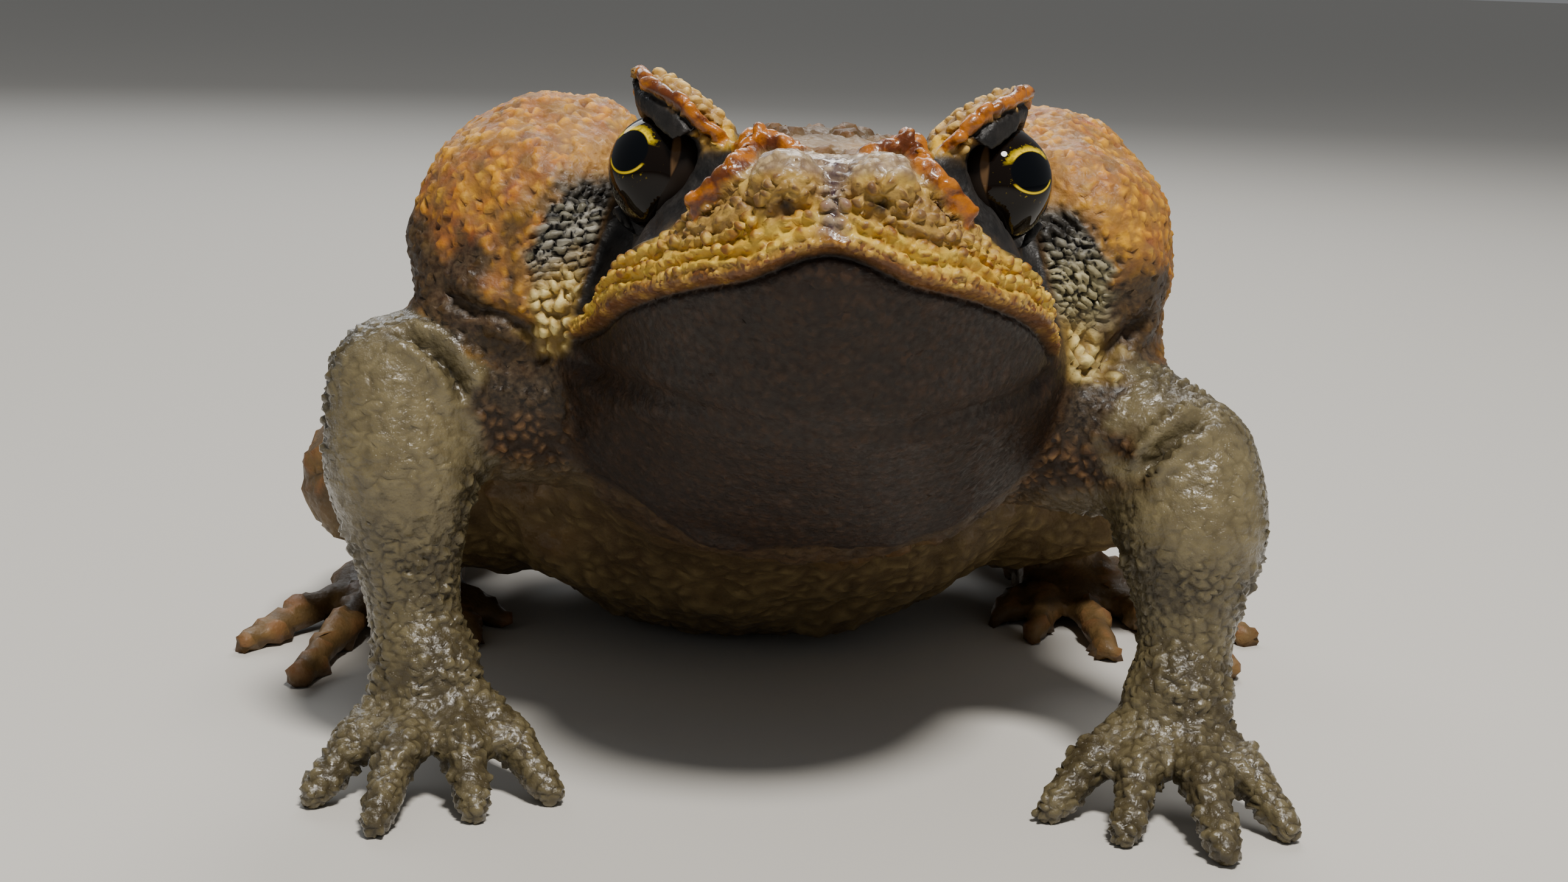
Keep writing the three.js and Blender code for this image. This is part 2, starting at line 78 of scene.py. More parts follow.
def in_head(points):
    """Side, forward and up in mm from the middle between the jaw corners, for world points in metres."""
    return (points - JAW) @ HEAD_AXES.T / MM


def in_body(points):
    """Side, back and up in mm along the turned body."""
    c, s = math.cos(BODY_YAW), math.sin(BODY_YAW)
    p = (points - JAW) / MM
    return np.stack([c * p[:, 0] + s * p[:, 1], -s * p[:, 0] + c * p[:, 1], points[:, 2] / MM], axis=1)


# Camera: the photograph's framing, a little above the toad's eyes, with a slight roll

CAMERA_RISE = math.radians(12)
CAMERA_ROLL = math.radians(2)
CAMERA_DISTANCE = 0.320
FRAME_WIDTH = 0.2232
SENSOR = 36.0
# The picture's middle lies this far from the jaw: down the head, to the toad's right, and down the picture
AIM_DOWN, AIM_ASIDE, AIM_LOW = 0.6 * MM, 5.0 * MM, 14.2 * MM


def place_camera():
    back = Vector((0, -math.cos(CAMERA_RISE), math.sin(CAMERA_RISE)))
    rise = back.cross(sideways)
    aim = jaw - upward * AIM_DOWN - sideways * AIM_ASIDE - rise * AIM_LOW
    data = bpy.data.cameras.new("portrait_camera")
    data.sensor_width = SENSOR
    data.lens = SENSOR * CAMERA_DISTANCE / FRAME_WIDTH
    data.clip_start = 0.01
    data.clip_end = 20
    camera = bpy.data.objects.new("portrait_camera", data)
    bpy.context.scene.collection.objects.link(camera)
    camera.location = aim + back * CAMERA_DISTANCE
    turn = (-back).to_track_quat("-Z", "Y") @ Quaternion((0, 0, 1), CAMERA_ROLL)
    camera.rotation_euler = turn.to_euler()
    bpy.context.scene.camera = camera


place_camera()


# Small helpers for colours and nodes

def linear(code):
    """An sRGB hex colour such as "#C98A45" as linear RGBA."""
    values = [int(code[i:i + 2], 16) / 255 for i in (1, 3, 5)]
    return [v / 12.92 if v <= 0.04045 else ((v + 0.055) / 1.055) ** 2.4 for v in values] + [1.0]


def new_material(name):
    material = bpy.data.materials.new(name)
    material.use_nodes = True
    tree = material.node_tree
    return material, tree, tree.nodes["Principled BSDF"]


def add(tree, kind, values=None):
    """Adds a node and gives its inputs and its properties their values.

    An input is named or numbered; its value is a plain one, a hex colour or another node's output.
    """
    node = tree.nodes.new("ShaderNode" + kind)
    for key, value in (values or {}).items():
        if isinstance(value, bpy.types.NodeSocket):
            tree.links.new(value, node.inputs[key])
        elif isinstance(key, int) or key in node.inputs:
            node.inputs[key].default_value = linear(value) if isinstance(value, str) else value
        else:
            setattr(node, key, value)
    return node


# Floor and lights

FLOOR_HALF = 400.0


def make_stage():
    # Matte studio paper: smooth, unglazed and pale, so that it gives the eye only the toad's own soft shadow.
    bm = bmesh.new()
    bmesh.ops.create_grid(bm, x_segments=1, y_segments=1, size=FLOOR_HALF)
    mesh = bpy.data.meshes.new("studio_floor")
    bm.to_mesh(mesh)
    bm.free()
    floor = bpy.data.objects.new("studio_floor", mesh)
    bpy.context.scene.collection.objects.link(floor)
    material, _, shader = new_material("matte_studio_paper")
    shader.inputs["Base Color"].default_value = linear("#C9C6C0")
    shader.inputs["Roughness"].default_value = 0.9
    mesh.materials.append(material)


def soft_light(name, place, aim, size, watts, tint):
    data = bpy.data.lights.new(name, "AREA")
    data.shape = "DISK"
    data.size = size
    data.energy = watts
    data.color = tint
    light = bpy.data.objects.new(name, data)
    bpy.context.scene.collection.objects.link(light)
    light.location = place
    light.rotation_euler = (Vector(place) - aim).to_track_quat("Z", "Y").to_euler()


def make_lights():
    soft_light("key_light", (0.14, -0.40, 0.85), jaw, 0.18, 10.5, (1.0, 0.96, 0.90))
    soft_light("fill_light", (-0.55, 0.95, 0.75), jaw, 0.6, 3.0, (0.92, 0.96, 1.0))
    soft_light("back_light", (0.1, 0.75, 0.8), jaw, 0.5, 5.0, (1.0, 0.98, 0.95))
    world = bpy.data.worlds.new("studio_air")
    world.use_nodes = True
    world.node_tree.nodes["Background"].inputs["Color"].default_value = linear("#D8DADC")
    world.node_tree.nodes["Background"].inputs["Strength"].default_value = 0.28
    bpy.context.scene.world = world


make_stage()
make_lights()


# Skin: the flesh solids run together into one body

FLESH = {
    "head": ["head", "eardrum_left", "eardrum_right"],
    "jaw": ["lower_jaw"],
    "trunk": ["trunk"],
    "gland": ["gland_left", "gland_right"],
    "fore": [],
    "hand": [],
    "hind": [],
    "foot": [],
}
for side in ("left", "right"):
    FLESH["fore"] += [f"upper_arm_{side}", f"forearm_{side}"]
    FLESH["hand"] += [f"hand_{side}"]
    FLESH["hand"] += [f"finger_{digit}_{side}" for digit in ("inner", "second", "third", "outer")]
    FLESH["hind"] += [f"thigh_{side}", f"shank_{side}"]
    FLESH["foot"] += [f"foot_{side}"]
    FLESH["foot"] += [f"toe_{digit}_{side}" for digit in ("first", "second", "third", "fourth", "fifth")]
ALL_FLESH = [node for group in FLESH.values() for node in group]

JOIN_GROWTH = 0.35 * MM
BASE_VOXEL = 1.25 * MM
# Rounds of smoothing: of the whole body, the glands, the refined face and the lids' undersides
BODY_ROUNDS, GLAND_ROUNDS, FACE_ROUNDS, LID_ROUNDS = 22, 60, 4, 18


def merged(nodes, grow=0.0):
    """The nodes' surfaces in one bmesh, each with its doubles merged and moved outward by grow."""
    whole = bmesh.new()
    for node in nodes:
        bm = bmesh.new()
        bm.from_mesh(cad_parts[node].data)
        bmesh.ops.remove_doubles(bm, verts=bm.verts, dist=1e-6)
        bm.normal_update()
        if grow:
            for vert in bm.verts:
                vert.co += vert.normal * grow
        mesh = bpy.data.meshes.new("part_copy")
        bm.to_mesh(mesh)
        bm.free()
        whole.from_mesh(mesh)
        bpy.data.meshes.remove(mesh)
    return whole


def object_of(bm, name):
    mesh = bpy.data.meshes.new(name)
    bm.to_mesh(mesh)
    bm.free()
    obj = bpy.data.objects.new(name, mesh)
    bpy.context.scene.collection.objects.link(obj)
    return obj


def settle(obj):
    """Applies the object's modifiers to its mesh."""
    graph = bpy.context.evaluated_depsgraph_get()
    mesh = bpy.data.meshes.new_from_object(obj.evaluated_get(graph))
    old = obj.data
    obj.modifiers.clear()
    obj.data = mesh
    bpy.data.meshes.remove(old)


def points_of(mesh):
    flat = np.empty(len(mesh.vertices) * 3)
    mesh.vertices.foreach_get("co", flat)
    return flat.reshape(-1, 3)


def normals_of(mesh):
    flat = np.empty(len(mesh.vertices) * 3)
    mesh.vertex_normals.foreach_get("vector", flat)
    return flat.reshape(-1, 3)


def edges_of(mesh):
    flat = np.empty(len(mesh.edges) * 2, dtype=np.int32)
    mesh.edges.foreach_get("vertices", flat)
    return flat.reshape(-1, 2)


def move_points(mesh, points):
    mesh.vertices.foreach_set("co", points.ravel())
    mesh.update()


def ramp(values, low, high):
    """0 at low, 1 at high, smooth between."""
    t = np.clip((values - low) / (high - low), 0, 1)
    return t * t * (3 - 2 * t)


def swell(distance, width):
    """A soft bump, 1 in the middle."""
    return np.exp(-((distance / width) ** 2))


def waves(place, spacing):
    """Even ripples between -1 and 1."""
    return np.cos(2 * math.pi * place / spacing)


def folded(head):
    """Points in the head's frame, with the toad's right side laid onto its left."""
    return np.abs(head * (1, 0, 0)) + head * (0, 1, 1)


def soften(points, edges, rounds, weight):
    """Laplacian smoothing, each point by its own weight."""
    a, b = edges[:, 0], edges[:, 1]
    count = np.bincount(edges.ravel(), minlength=len(points))[:, None]
    for _ in range(rounds):
        total = np.stack(
            [
                np.bincount(a, points[b, k], len(points)) + np.bincount(b, points[a, k], len(points))
                for k in range(3)
            ],
            axis=1,
        )
        points = points + weight[:, None] * (total / count - points)
    return points


surfaces = {group: BVHTree.FromBMesh(merged(nodes)) for group, nodes in FLESH.items()}


def away_from(group, points):
    """How far each point is from a group's solids, in mm."""
    find = surfaces[group].find_nearest
    return np.array([find(p)[3] for p in points.tolist()]) / MM


def write_values(mesh, name, values):
    """Stores one number per vertex as an attribute, which later modifiers carry along."""
    layer = mesh.attributes.get(name) or mesh.attributes.new(name, "FLOAT", "POINT")
    layer.data.foreach_set("value", np.ascontiguousarray(values, dtype=np.float32))


def read_values(mesh, name):
    values = np.empty(len(mesh.vertices), dtype=np.float32)
    mesh.attributes[name].data.foreach_get("value", values)
    return values.astype(float)


def base_skin():
    """The flesh solids run together, softened, with each group's share kept on the vertices."""
    skin = object_of(merged(ALL_FLESH, JOIN_GROWTH), "toad_skin")
    remesh = skin.modifiers.new("run_together", "REMESH")
    remesh.mode = "VOXEL"
    remesh.voxel_size = BASE_VOXEL
    remesh.adaptivity = 0
    settle(skin)
    mesh = skin.data
    points = points_of(mesh)
    share = {group: 1 - ramp(away_from(group, points), 0.5, 4.0) for group in surfaces}
    fine = np.maximum.reduce([share["hand"], share["foot"], 0.75 * share["head"]])
    weight = 0.55 * (1 - 0.8 * fine)
    points = soften(points, edges_of(mesh), BODY_ROUNDS, weight)
    points = soften(points, edges_of(mesh), GLAND_ROUNDS, 0.6 * share["gland"] * (1 - share["head"]))
    move_points(mesh, points)
    for group, values in share.items():
        write_values(mesh, group, values)
    return skin


def refine(skin):
    """Halves the mesh's edges, again on the front that the portrait shows and once more on the face.

    It also smooths the face and, more, the lids' undersides.
    """
    mesh = skin.data
    side, ahead, up = in_head(points_of(mesh)).T
    near = (ahead > -22) & (up > -34) & (np.abs(side) < 62)
    near |= (read_values(mesh, "fore") + read_values(mesh, "hand") > 0.3) & (ahead > -30)
    face = (ahead > 5) & (up > -4.5) & (read_values(mesh, "head") > 0.5)
    write_values(mesh, "near", near)
    write_values(mesh, "face", face)
    bm = bmesh.new()
    bm.from_mesh(mesh)
    for name in ("near", "face"):
        layer = bm.verts.layers.float[name]
        chosen = [edge for edge in bm.edges if min(vert[layer] for vert in edge.verts) > 0.99]
        bmesh.ops.subdivide_edges(bm, edges=chosen, cuts=1, use_grid_fill=True)
    bm.to_mesh(mesh)
    bm.free()
    finer = skin.modifiers.new("finer", "SUBSURF")
    finer.levels = finer.render_levels = 1
    settle(skin)
    mesh = skin.data
    points = soften(points_of(mesh), edges_of(mesh), FACE_ROUNDS, 0.5 * read_values(mesh, "face"))
    under = ramp(read_values(mesh, "under_lid"), 0.05, 0.5)
    points = soften(points, edges_of(mesh), LID_ROUNDS, 0.55 * under)
    move_points(mesh, clear_of_eyes(points))
    for name in ("near", "face"):
        mesh.attributes.remove(mesh.attributes[name])
    for polygon in mesh.polygons:
        polygon.use_smooth = True


# Where the skin is pulled: centre, move and radius in mm in the head's frame.
# The lids' outer tips rise, the toad's right one more, and the hollows before the eyes sink.
PULLS = [
    ((-28.0, 19.0, 28.0), (1.4, 0.0, 3.0), 7.0),
    ((28.0, 19.0, 28.0), (0.2, 0.0, 1.0), 7.0),
    ((-25.5, 21.0, 24.0), (0.0, 0.0, 2.0), 4.0),
    ((25.5, 21.0, 24.0), (0.0, 0.0, 1.8), 4.0),
    ((-24.0, 26.5, 9.0), (-0.6, 0.6, 2.4), 4.0),
    ((24.0, 26.5, 9.0), (0.6, 0.6, 2.4), 4.0),
    ((-15.0, 32.0, 11.5), (0.4, -2.0, -0.4), 3.0),
    ((15.0, 32.0, 11.5), (-0.4, -2.0, -0.4), 3.0),
    ((-56.0, 1.0, 13.0), (-2.6, 0.0, 0.0), 11.0),
    ((-32.0, -2.0, 30.0), (0.4, 0.0, 2.2), 6.0),
    ((43.0, -8.0, 34.5), (-2.0, 0.0, -3.8), 9.0),
]
LID_FILM = 0.3
HOOD_DROP = 4.5
LID_TIP = (28.0, 18.0, 29.0)


def pulled(head):
    """Moves points in the head's frame as fingers would move clay."""
    for centre, move, radius in PULLS:
        share = swell(np.linalg.norm(head - np.array(centre), axis=1), radius)
        head = head + share[:, None] * np.array(move)
    return head


def hooded(head, normals):
    """Draws the lids' undersides down onto the eyeballs, as the smooth skin between lid and eye is."""
    place = folded(head) - EYE_SPOT
    over = np.sqrt(np.clip((EYE_RADIUS + 0.7) ** 2 - place[:, 0] ** 2 - place[:, 1] ** 2, 0, None))
    under = ramp(-(normals @ HEAD_AXES.T)[:, 2], -0.05, 0.35) * ramp(place[:, 2], 2, 5)
    under *= ramp(place[:, 1], -6, -2) * ramp(place[:, 0], -9.5, -6.5) * (place[:, 2] > over)
    head[:, 2] -= under * np.clip(place[:, 2] - over, 0, HOOD_DROP)
    return head, under


def pull(skin):
    """Pulls the skin about, and lays its edges on the eyeballs."""
    mesh = skin.data
    head, under = hooded(pulled(in_head(points_of(mesh))), normals_of(mesh))
    write_values(mesh, "under_lid", under)
    points = clear_of_eyes(JAW + head @ HEAD_AXES * MM)
    sides = np.abs(head)
    near_eye = swell(np.linalg.norm(sides - EYE_SPOT, axis=1) - 9.5, 1.5)
    near_tip = swell(np.linalg.norm(sides - LID_TIP, axis=1), 3.0)
    points = soften(points, edges_of(mesh), 5, 0.5 * np.maximum(near_eye, near_tip) * (head[:, 1] > 0))
    move_points(mesh, clear_of_eyes(points))


def clear_of_eyes(points):
    """Pushes points off the eyeballs, so that the lids lie on them."""
    for centre in eyes.values():
        away = points - np.array(centre)
        distance = np.linalg.norm(away, axis=1)
        reach = (EYE_RADIUS + LID_FILM) * MM
        inner = distance < reach
        points[inner] = np.array(centre) + away[inner] / distance[inner, None] * reach
    return points


skin = base_skin()
pull(skin)
skin_surface = BVHTree.FromPolygons(
    [v.co for v in skin.data.vertices], [p.vertices[:] for p in skin.data.polygons]
)
refine(skin)


# Relief helpers. Lengths are millimetres in the head's frame.

class Relief:
    """The skin's vertices, in every frame the features use, and their groups' shares."""

    def __init__(self, mesh):
        self.mesh = mesh
        self.world = points_of(mesh)
        self.normals = normals_of(mesh)
        self.head = in_head(self.world)
        self.body = in_body(self.world)
        self.facing = self.normals @ HEAD_AXES.T
        self.share = {group: read_values(mesh, group) for group in FLESH}
        self.face = np.clip(self.share["head"] + self.share["jaw"], 0, 1)
        self.lift = np.zeros(len(self.world))

    def apply(self):
        """Moves the vertices along their normals by the lift gathered so far."""
        self.world = self.world + self.normals * (self.lift * MM)[:, None]
        move_points(self.mesh, self.world)
        self.normals = normals_of(self.mesh)
        self.facing = self.normals @ HEAD_AXES.T
        self.lift[:] = 0


def mirrored(path):
    """A path given for the toad's left side, and the same path for its right."""
    return [np.array(path, float) * (s, 1, 1) for s in (1, -1)]


def smooth_path(path, steps=6):
    """Points along a Catmull-Rom curve through the path's points."""
    p = np.vstack([2 * path[0] - path[1], path, 2 * path[-1] - path[-2]])
    line = []
    for i in range(1, len(p) - 2):
        for t in np.arange(steps) / steps:
            slope = p[i + 1] - p[i - 1]
            bend = 2 * p[i - 1] - 5 * p[i] + 4 * p[i + 1] - p[i + 2]
            twist = 3 * p[i] - p[i - 1] - 3 * p[i + 1] + p[i + 2]
            line.append(p[i] + 0.5 * (slope * t + bend * t**2 + twist * t**3))
    line.append(p[-2])
    return np.array(line)


def snapped(path):
    """A path's points in the head's frame moved to the nearest place on the softened skin."""
    world = JAW + np.asarray(path) @ HEAD_AXES * MM
    return in_head(np.array([skin_surface.find_nearest(p)[0] for p in world.tolist()]))


def near_path(points, path, reach):
    """Each point's distance from a smooth path, and how far along it that is, from 0 to 1."""
    line = snapped(smooth_path(path))
    distance = np.full(len(points), float(reach))
    along = np.zeros(len(points))
    close = np.all((points > line.min(0) - reach) & (points < line.max(0) + reach), axis=1)
    p = points[close]
    best, where = distance[close], along[close]
    for i in range(len(line) - 1):
        run = line[i + 1] - line[i]
        t = np.clip((p - line[i]) @ run / (run @ run), 0, 1)
        d = np.linalg.norm(p - line[i] - t[:, None] * run, axis=1)
        nearer = d < best
        best[nearer] = d[nearer]
        where[nearer] = (i + t[nearer]) / (len(line) - 1)
    distance[close], along[close] = best, where
    return distance, along


def rope(distance, half_width):
    """A round ridge's height, 1 on its crest and 0 beyond its half width."""
    return np.clip(1 - (distance / half_width) ** 2, 0, 1) ** 0.75


def tapered(along, start, end):
    """1 along a path, falling to 0 within the given shares of its length at its two ends."""
    return ramp(along, 0, start) * ramp(1 - along, 0, end)


def wander(points, size, seed):
    """Smooth waves between about -1 and 1, added up into lumps of the given size in mm."""
    draw = np.random.default_rng(seed)
    total = np.zeros(len(points))
    for _ in range(7):
        way = draw.normal(size=3)
        way *= draw.uniform(0.6, 1.5) * math.pi / (size * MM * np.linalg.norm(way))
        total += np.sin(points @ way + draw.uniform(0, 2 * math.pi))
    return total / 2.6


def scatter(points, zone, spacing, stretch=(1, 1, 1)):
    """Evenly scattered seeds on the zone's points; stretch squeezes the space they are spread in."""
    chosen = np.flatnonzero(zone > 0.5)
    rng.shuffle(chosen)
    space = points[chosen] / MM * stretch
    cell = np.floor(space / (0.75 * spacing)).astype(np.int64)
    _, first = np.unique(cell, axis=0, return_index=True)
    chosen, space = chosen[np.sort(first)], space[np.sort(first)]
    tree = KDTree(len(space))
    for i, p in enumerate(space.tolist()):
        tree.insert(p, i)
    tree.balance()
    kept = np.ones(len(space), bool)
    for i, p in enumerate(space.tolist()):
        if kept[i]:
            for _, j, _ in tree.find_range(p, 0.8 * spacing):
                kept[j] = kept[j] and j <= i
    return space[kept]


def nearest_two(points, zone, seeds, stretch=(1, 1, 1)):
    """Distances in mm to the nearest and the next seed, and which is nearest, for the zone's points."""
    chosen = np.flatnonzero(zone > 0.01)
    tree = KDTree(len(seeds))
    for i, p in enumerate(seeds.tolist()):
        tree.insert(p, i)
    tree.balance()
    found = [tree.find_n(p, 2) for p in (points[chosen] / MM * stretch).tolist()]
    first = np.array([pair[0][2] for pair in found])
    second = np.array([pair[1][2] for pair in found])
    which = np.array([pair[0][1] for pair in found])
    return chosen, first, second, which


# The mouth's line as in the solids: it arches at the snout and droops to the corners

def mouth_up(side):
    out = np.abs(side)
    return -1.0 - 2.9 * ramp(out, 0, 12) + 0.045 * np.clip(out - 13, 0, None)


CORNER_LUMPS = [
    ((9.6, 35.5, 15.8), 1.5, 2.9),
    ((10.8, 31.5, 16.6), 1.2, 2.5),
    ((11.3, 27.0, 16.8), 1.0, 2.4),
]
PREOCULAR = [(9.9, 37.0, 15.0), (11.5, 41.2, 10.8), (13.9, 40.4, 8.9), (16.0, 39.1, 7.3), (17.6, 38.0, 5.4)]
SNOUT_TOP = [(9.8, 36.5, 16.0), (6.9, 37.6, 15.6), (3.0, 40.2, 14.3)]
OVER_EYE = [(10.2, 34.0, 15.8), (11.5, 18.0, 16.5), (13.5, 3.0, 14.5), (21.0, -2.0, 11.5)]
LID_RIM = [
    (28.4, 13.0, 29.0),
    (28.0, 20.0, 29.2),
    (25.0, 28.2, 27.2),
    (21.2, 31.4, 24.6),
    (17.7, 32.4, 21.2),
    (13.4, 31.8, 18.0),
]
# Each crest: its path, height, half width and the shares of its length over which its ends taper
CRESTS = [
    (PREOCULAR, 2.5, 1.75, 0.04, 0.2),
    (SNOUT_TOP, 1.8, 1.45, 0.04, 0.5),
    (OVER_EYE, 1.5, 1.7, 0.05, 0.3),
    (LID_RIM, 0.7, 0.95, 0.1, 0.12),
]
NOSTRIL_MOUND = (5.9, 46.6, 8.6)
NOSTRIL = (5.8, 47.6, 5.0)
NOSTRIL_SIZE = (1.2, 3.0, 0.8)
MIDLINE = [(0.0, 44.5, 11.8), (0.0, 47.8, 7.0), (0.0, 48.8, 3.2)]
JAW_FOLD = [(35.0, 2.0, -3.5), (30.3, 9.5, -8.6), (20.7, 22.5, -14.2), (9.8, 27.5, -18.1)]
BAND_TOP = [
    (2.8, 48.4, 5.0),
    (7.4, 47.4, 4.2),
    (12.2, 44.7, 4.2),
    (17.9, 38.3, 4.4),
    (23.0, 31.4, 3.6),
    (27.5, 25.5, 1.6),
    (31.0, 16.0, 0.5),
]


def nostrils(r, width):
    """The two nostrils, each 1 in its middle."""
    return swell(np.linalg.norm((folded(r.head) - NOSTRIL) / NOSTRIL_SIZE, axis=1), width)


# The spacings of the folds on the snout's midline, above the lip and on the cheek
BAR_SPACING, LIP_SPACING, CHEEK_SPACING = 1.5, 2.15, 1.15


def snout_bars(r):
    return waves(r.head[:, 2] + 0.3 * wander(r.world, 3, 12), BAR_SPACING)


def cheek(side, ahead, up, ragged):
    """The wrinkled panel between eye, gland and mouth corner, and the dark dip before it, from 0 to 1."""
    out = np.abs(side)
    down = np.clip((21 - up) / 22, 0, 1)
    inner = 29.5 + 6 * down
    outer = 33 + 9.5 * ramp(down, -0.1, 0.5)
    inside = ramp(out, inner - 0.8, inner + 0.6)
    reach = ramp(up, -5, -3) * (1 - ramp(up, 18, 22)) * ramp(ahead, -12, -7)
    panel = inside * (1 - ramp(out + ragged, outer - 2, outer + 1.5)) * reach
    top = 8 - 0.55 * np.clip(out - 24, 0, None)
    dip = ramp(up - mouth_up(side) - top, 0, 1.6) * ramp(out, 21, 24) * (1 - inside)
    return panel, dip * (1 - ramp(up, 16, 20)) * ramp(ahead, -8, -3)


# The folds over the elbows and those from the glands down to the throat
ELBOW_FOLDS = [
    [(56.5, -3.0, -9.5), (51.5, -0.8, -12.0), (48.0, -1.5, -15.0), (45.3, -3.2, -18.5)],
    [(-61.4, 4.3, -1.7), (-57.4, 4.8, -3.0), (-53.4, 4.4, -5.6), (-50.8, 3.3, -9.0), (-49.9, 1.8, -12.6)],
]
NECK_FOLDS = [
    [(50.5, -9.0, 9.0), (46.4, -6.6, 5.0), (41.9, -6.0, 1.0), (38.0, -5.0, -4.0)],
    [(-54.0, 2.0, 6.0), (-50.0, 4.4, 2.4), (-43.3, 5.3, 0.2), (-38.2, 1.8, -4.9)],
]


# How far the large forms may move the skin, in mm
DEEPEST, HIGHEST = -2.8, 3.4


def large_forms(skin):
    """Mouth, lips, crests, nostrils and folds of the face."""
    r = Relief(skin.data)
    side, ahead, up = r.head.T
    mouth = up - mouth_up(side)
    corner = ramp(ahead, 3, 9) * r.face
    r.lift += corner * (
        -1.6 * swell(mouth, 0.6)
        + 0.35 * swell(mouth - 1.2, 0.8)
        - 1.3 * ramp(-mouth, -0.1, 0.7) * (1 - ramp(-mouth, 2, 12))
    )
    bony = np.zeros(len(side))
    outline = np.zeros(len(side))
    for s in (1, -1):
        for place, height, radius in CORNER_LUMPS:
            lump = np.linalg.norm(r.head - snapped([np.array(place) * (s, 1, 1)])[0], axis=1)
            r.lift += height * np.clip(1 - (lump / radius) ** 2, 0, 1) ** 0.8
            bony = np.maximum(bony, 1 - ramp(lump, 0.75 * radius, radius))
        mound = np.linalg.norm(r.head - np.array(NOSTRIL_MOUND) * (s, 1, 1), axis=1)
        r.lift += 2.3 * np.clip(1 - (mound / 4.6) ** 2, 0, 1) ** 0.8 - 0.5 * swell(mound - 5.2, 0.7) * corner
    for path, height, half, start, end in CRESTS:
        for one in mirrored(path):
            d, along = near_path(r.head, pulled(one) if path is LID_RIM else one, 6)
            thick = half * (1 + 0.12 * np.sin(along * 19))
            r.lift += height * rope(d, thick) * tapered(along, start, end)
            crest = (1 - ramp(d, 0.8 * half, 1.05 * half)) * tapered(along, start / 3, end / 3)
            bony = np.maximum(bony, crest)
            outline = np.maximum(outline, swell(d - 1.35 * half, 0.45) * tapered(along, start, end))
    r.lift -= 0.7 * outline * (1 - bony)
    d, along = near_path(r.head, np.array(MIDLINE), 4)
    r.lift -= 0.5 * swell(d, 0.8) * tapered(along, 0.2, 0.3)
    r.lift += 0.28 * snout_bars(r) * swell(d, 1.5) * tapered(along, 0.2, 0.1)
    rows = waves(mouth + 0.75 * wander(r.world, 7, 13), LIP_SPACING) * corner * ramp(np.abs(side), 1.5, 3.5)
    r.lift += 0.42 * rows * ramp(mouth, 1.4, 2.6) * (1 - ramp(mouth, 6, 9))
    panel, dip = cheek(side, ahead, up, wander(r.world, 5, 5))
    r.lift -= 1.1 * dip * r.face
    ridges = waves(0.287 * np.abs(side) + up + 0.9 * wander(r.world, 6, 14), CHEEK_SPACING)
    r.lift += 0.34 * ridges * panel * ramp(up, 2, 5)
    for path in mirrored(BAND_TOP):
        d, along = near_path(r.head, path, 5)
        r.lift += 0.5 * swell(d, 1.3) * tapered(along, 0.2, 0.2)
    fold = np.array(JAW_FOLD + [(0.0, 28.4, -19.3)] + [(-x, y, z) for x, y, z in reversed(JAW_FOLD)])
    d, along = near_path(r.head, fold, 8)
    soft_fold = 0.5 * swell(d - 3.5, 2.2) - 1.1 * swell(d, 1.5)
    r.lift += soft_fold * tapered(along, 0.1, 0.1) * (1 - 0.75 * swell(side, 20))
    creased = np.zeros(len(side))
    for path, depth, width in [(p, 2.1, 1.0) for p in ELBOW_FOLDS] + [(p, 1.2, 1.1) for p in NECK_FOLDS]:
        d, along = near_path(r.head, np.array(path), 6)
        ends = tapered(along, 0.25, 0.25)
        r.lift += depth * (0.5 * swell(d - 2.4 * width, 1.2 * width) - swell(d, width)) * ends
        creased = np.maximum(creased, swell(d, 0.8 * width) * ends)
    glands = r.share["gland"]
    r.lift += 0.7 * glands * wander(r.world, 13, 1) + 0.3 * glands * wander(r.world, 4.5, 2)
    body = np.clip(r.share["trunk"] + r.share["hind"], 0, 1)
    r.lift += 0.7 * body * wander(r.world, 9, 3) + 0.35 * body * wander(r.world, 4.5, 27)
    r.lift = np.clip(r.lift, DEEPEST, HIGHEST)
    r.apply()
    pits = nostrils(r, 1.0)
    r.lift -= 1.7 * pits
    outline = np.maximum(outline, pits)
    r.apply()
    write_values(skin.data, "bony", bony * r.face)
    # The crests' outlines, the nostrils and the folds' creases are kept for darkening the colour there:
    # partly the skin's own darker folds, partly painted shade
    write_values(skin.data, "outline", np.maximum(outline * (1 - bony), creased))


# How far out the mud begins on the toad's two arms
MUD_RIGHT, MUD_LEFT = 47.0, 43.0


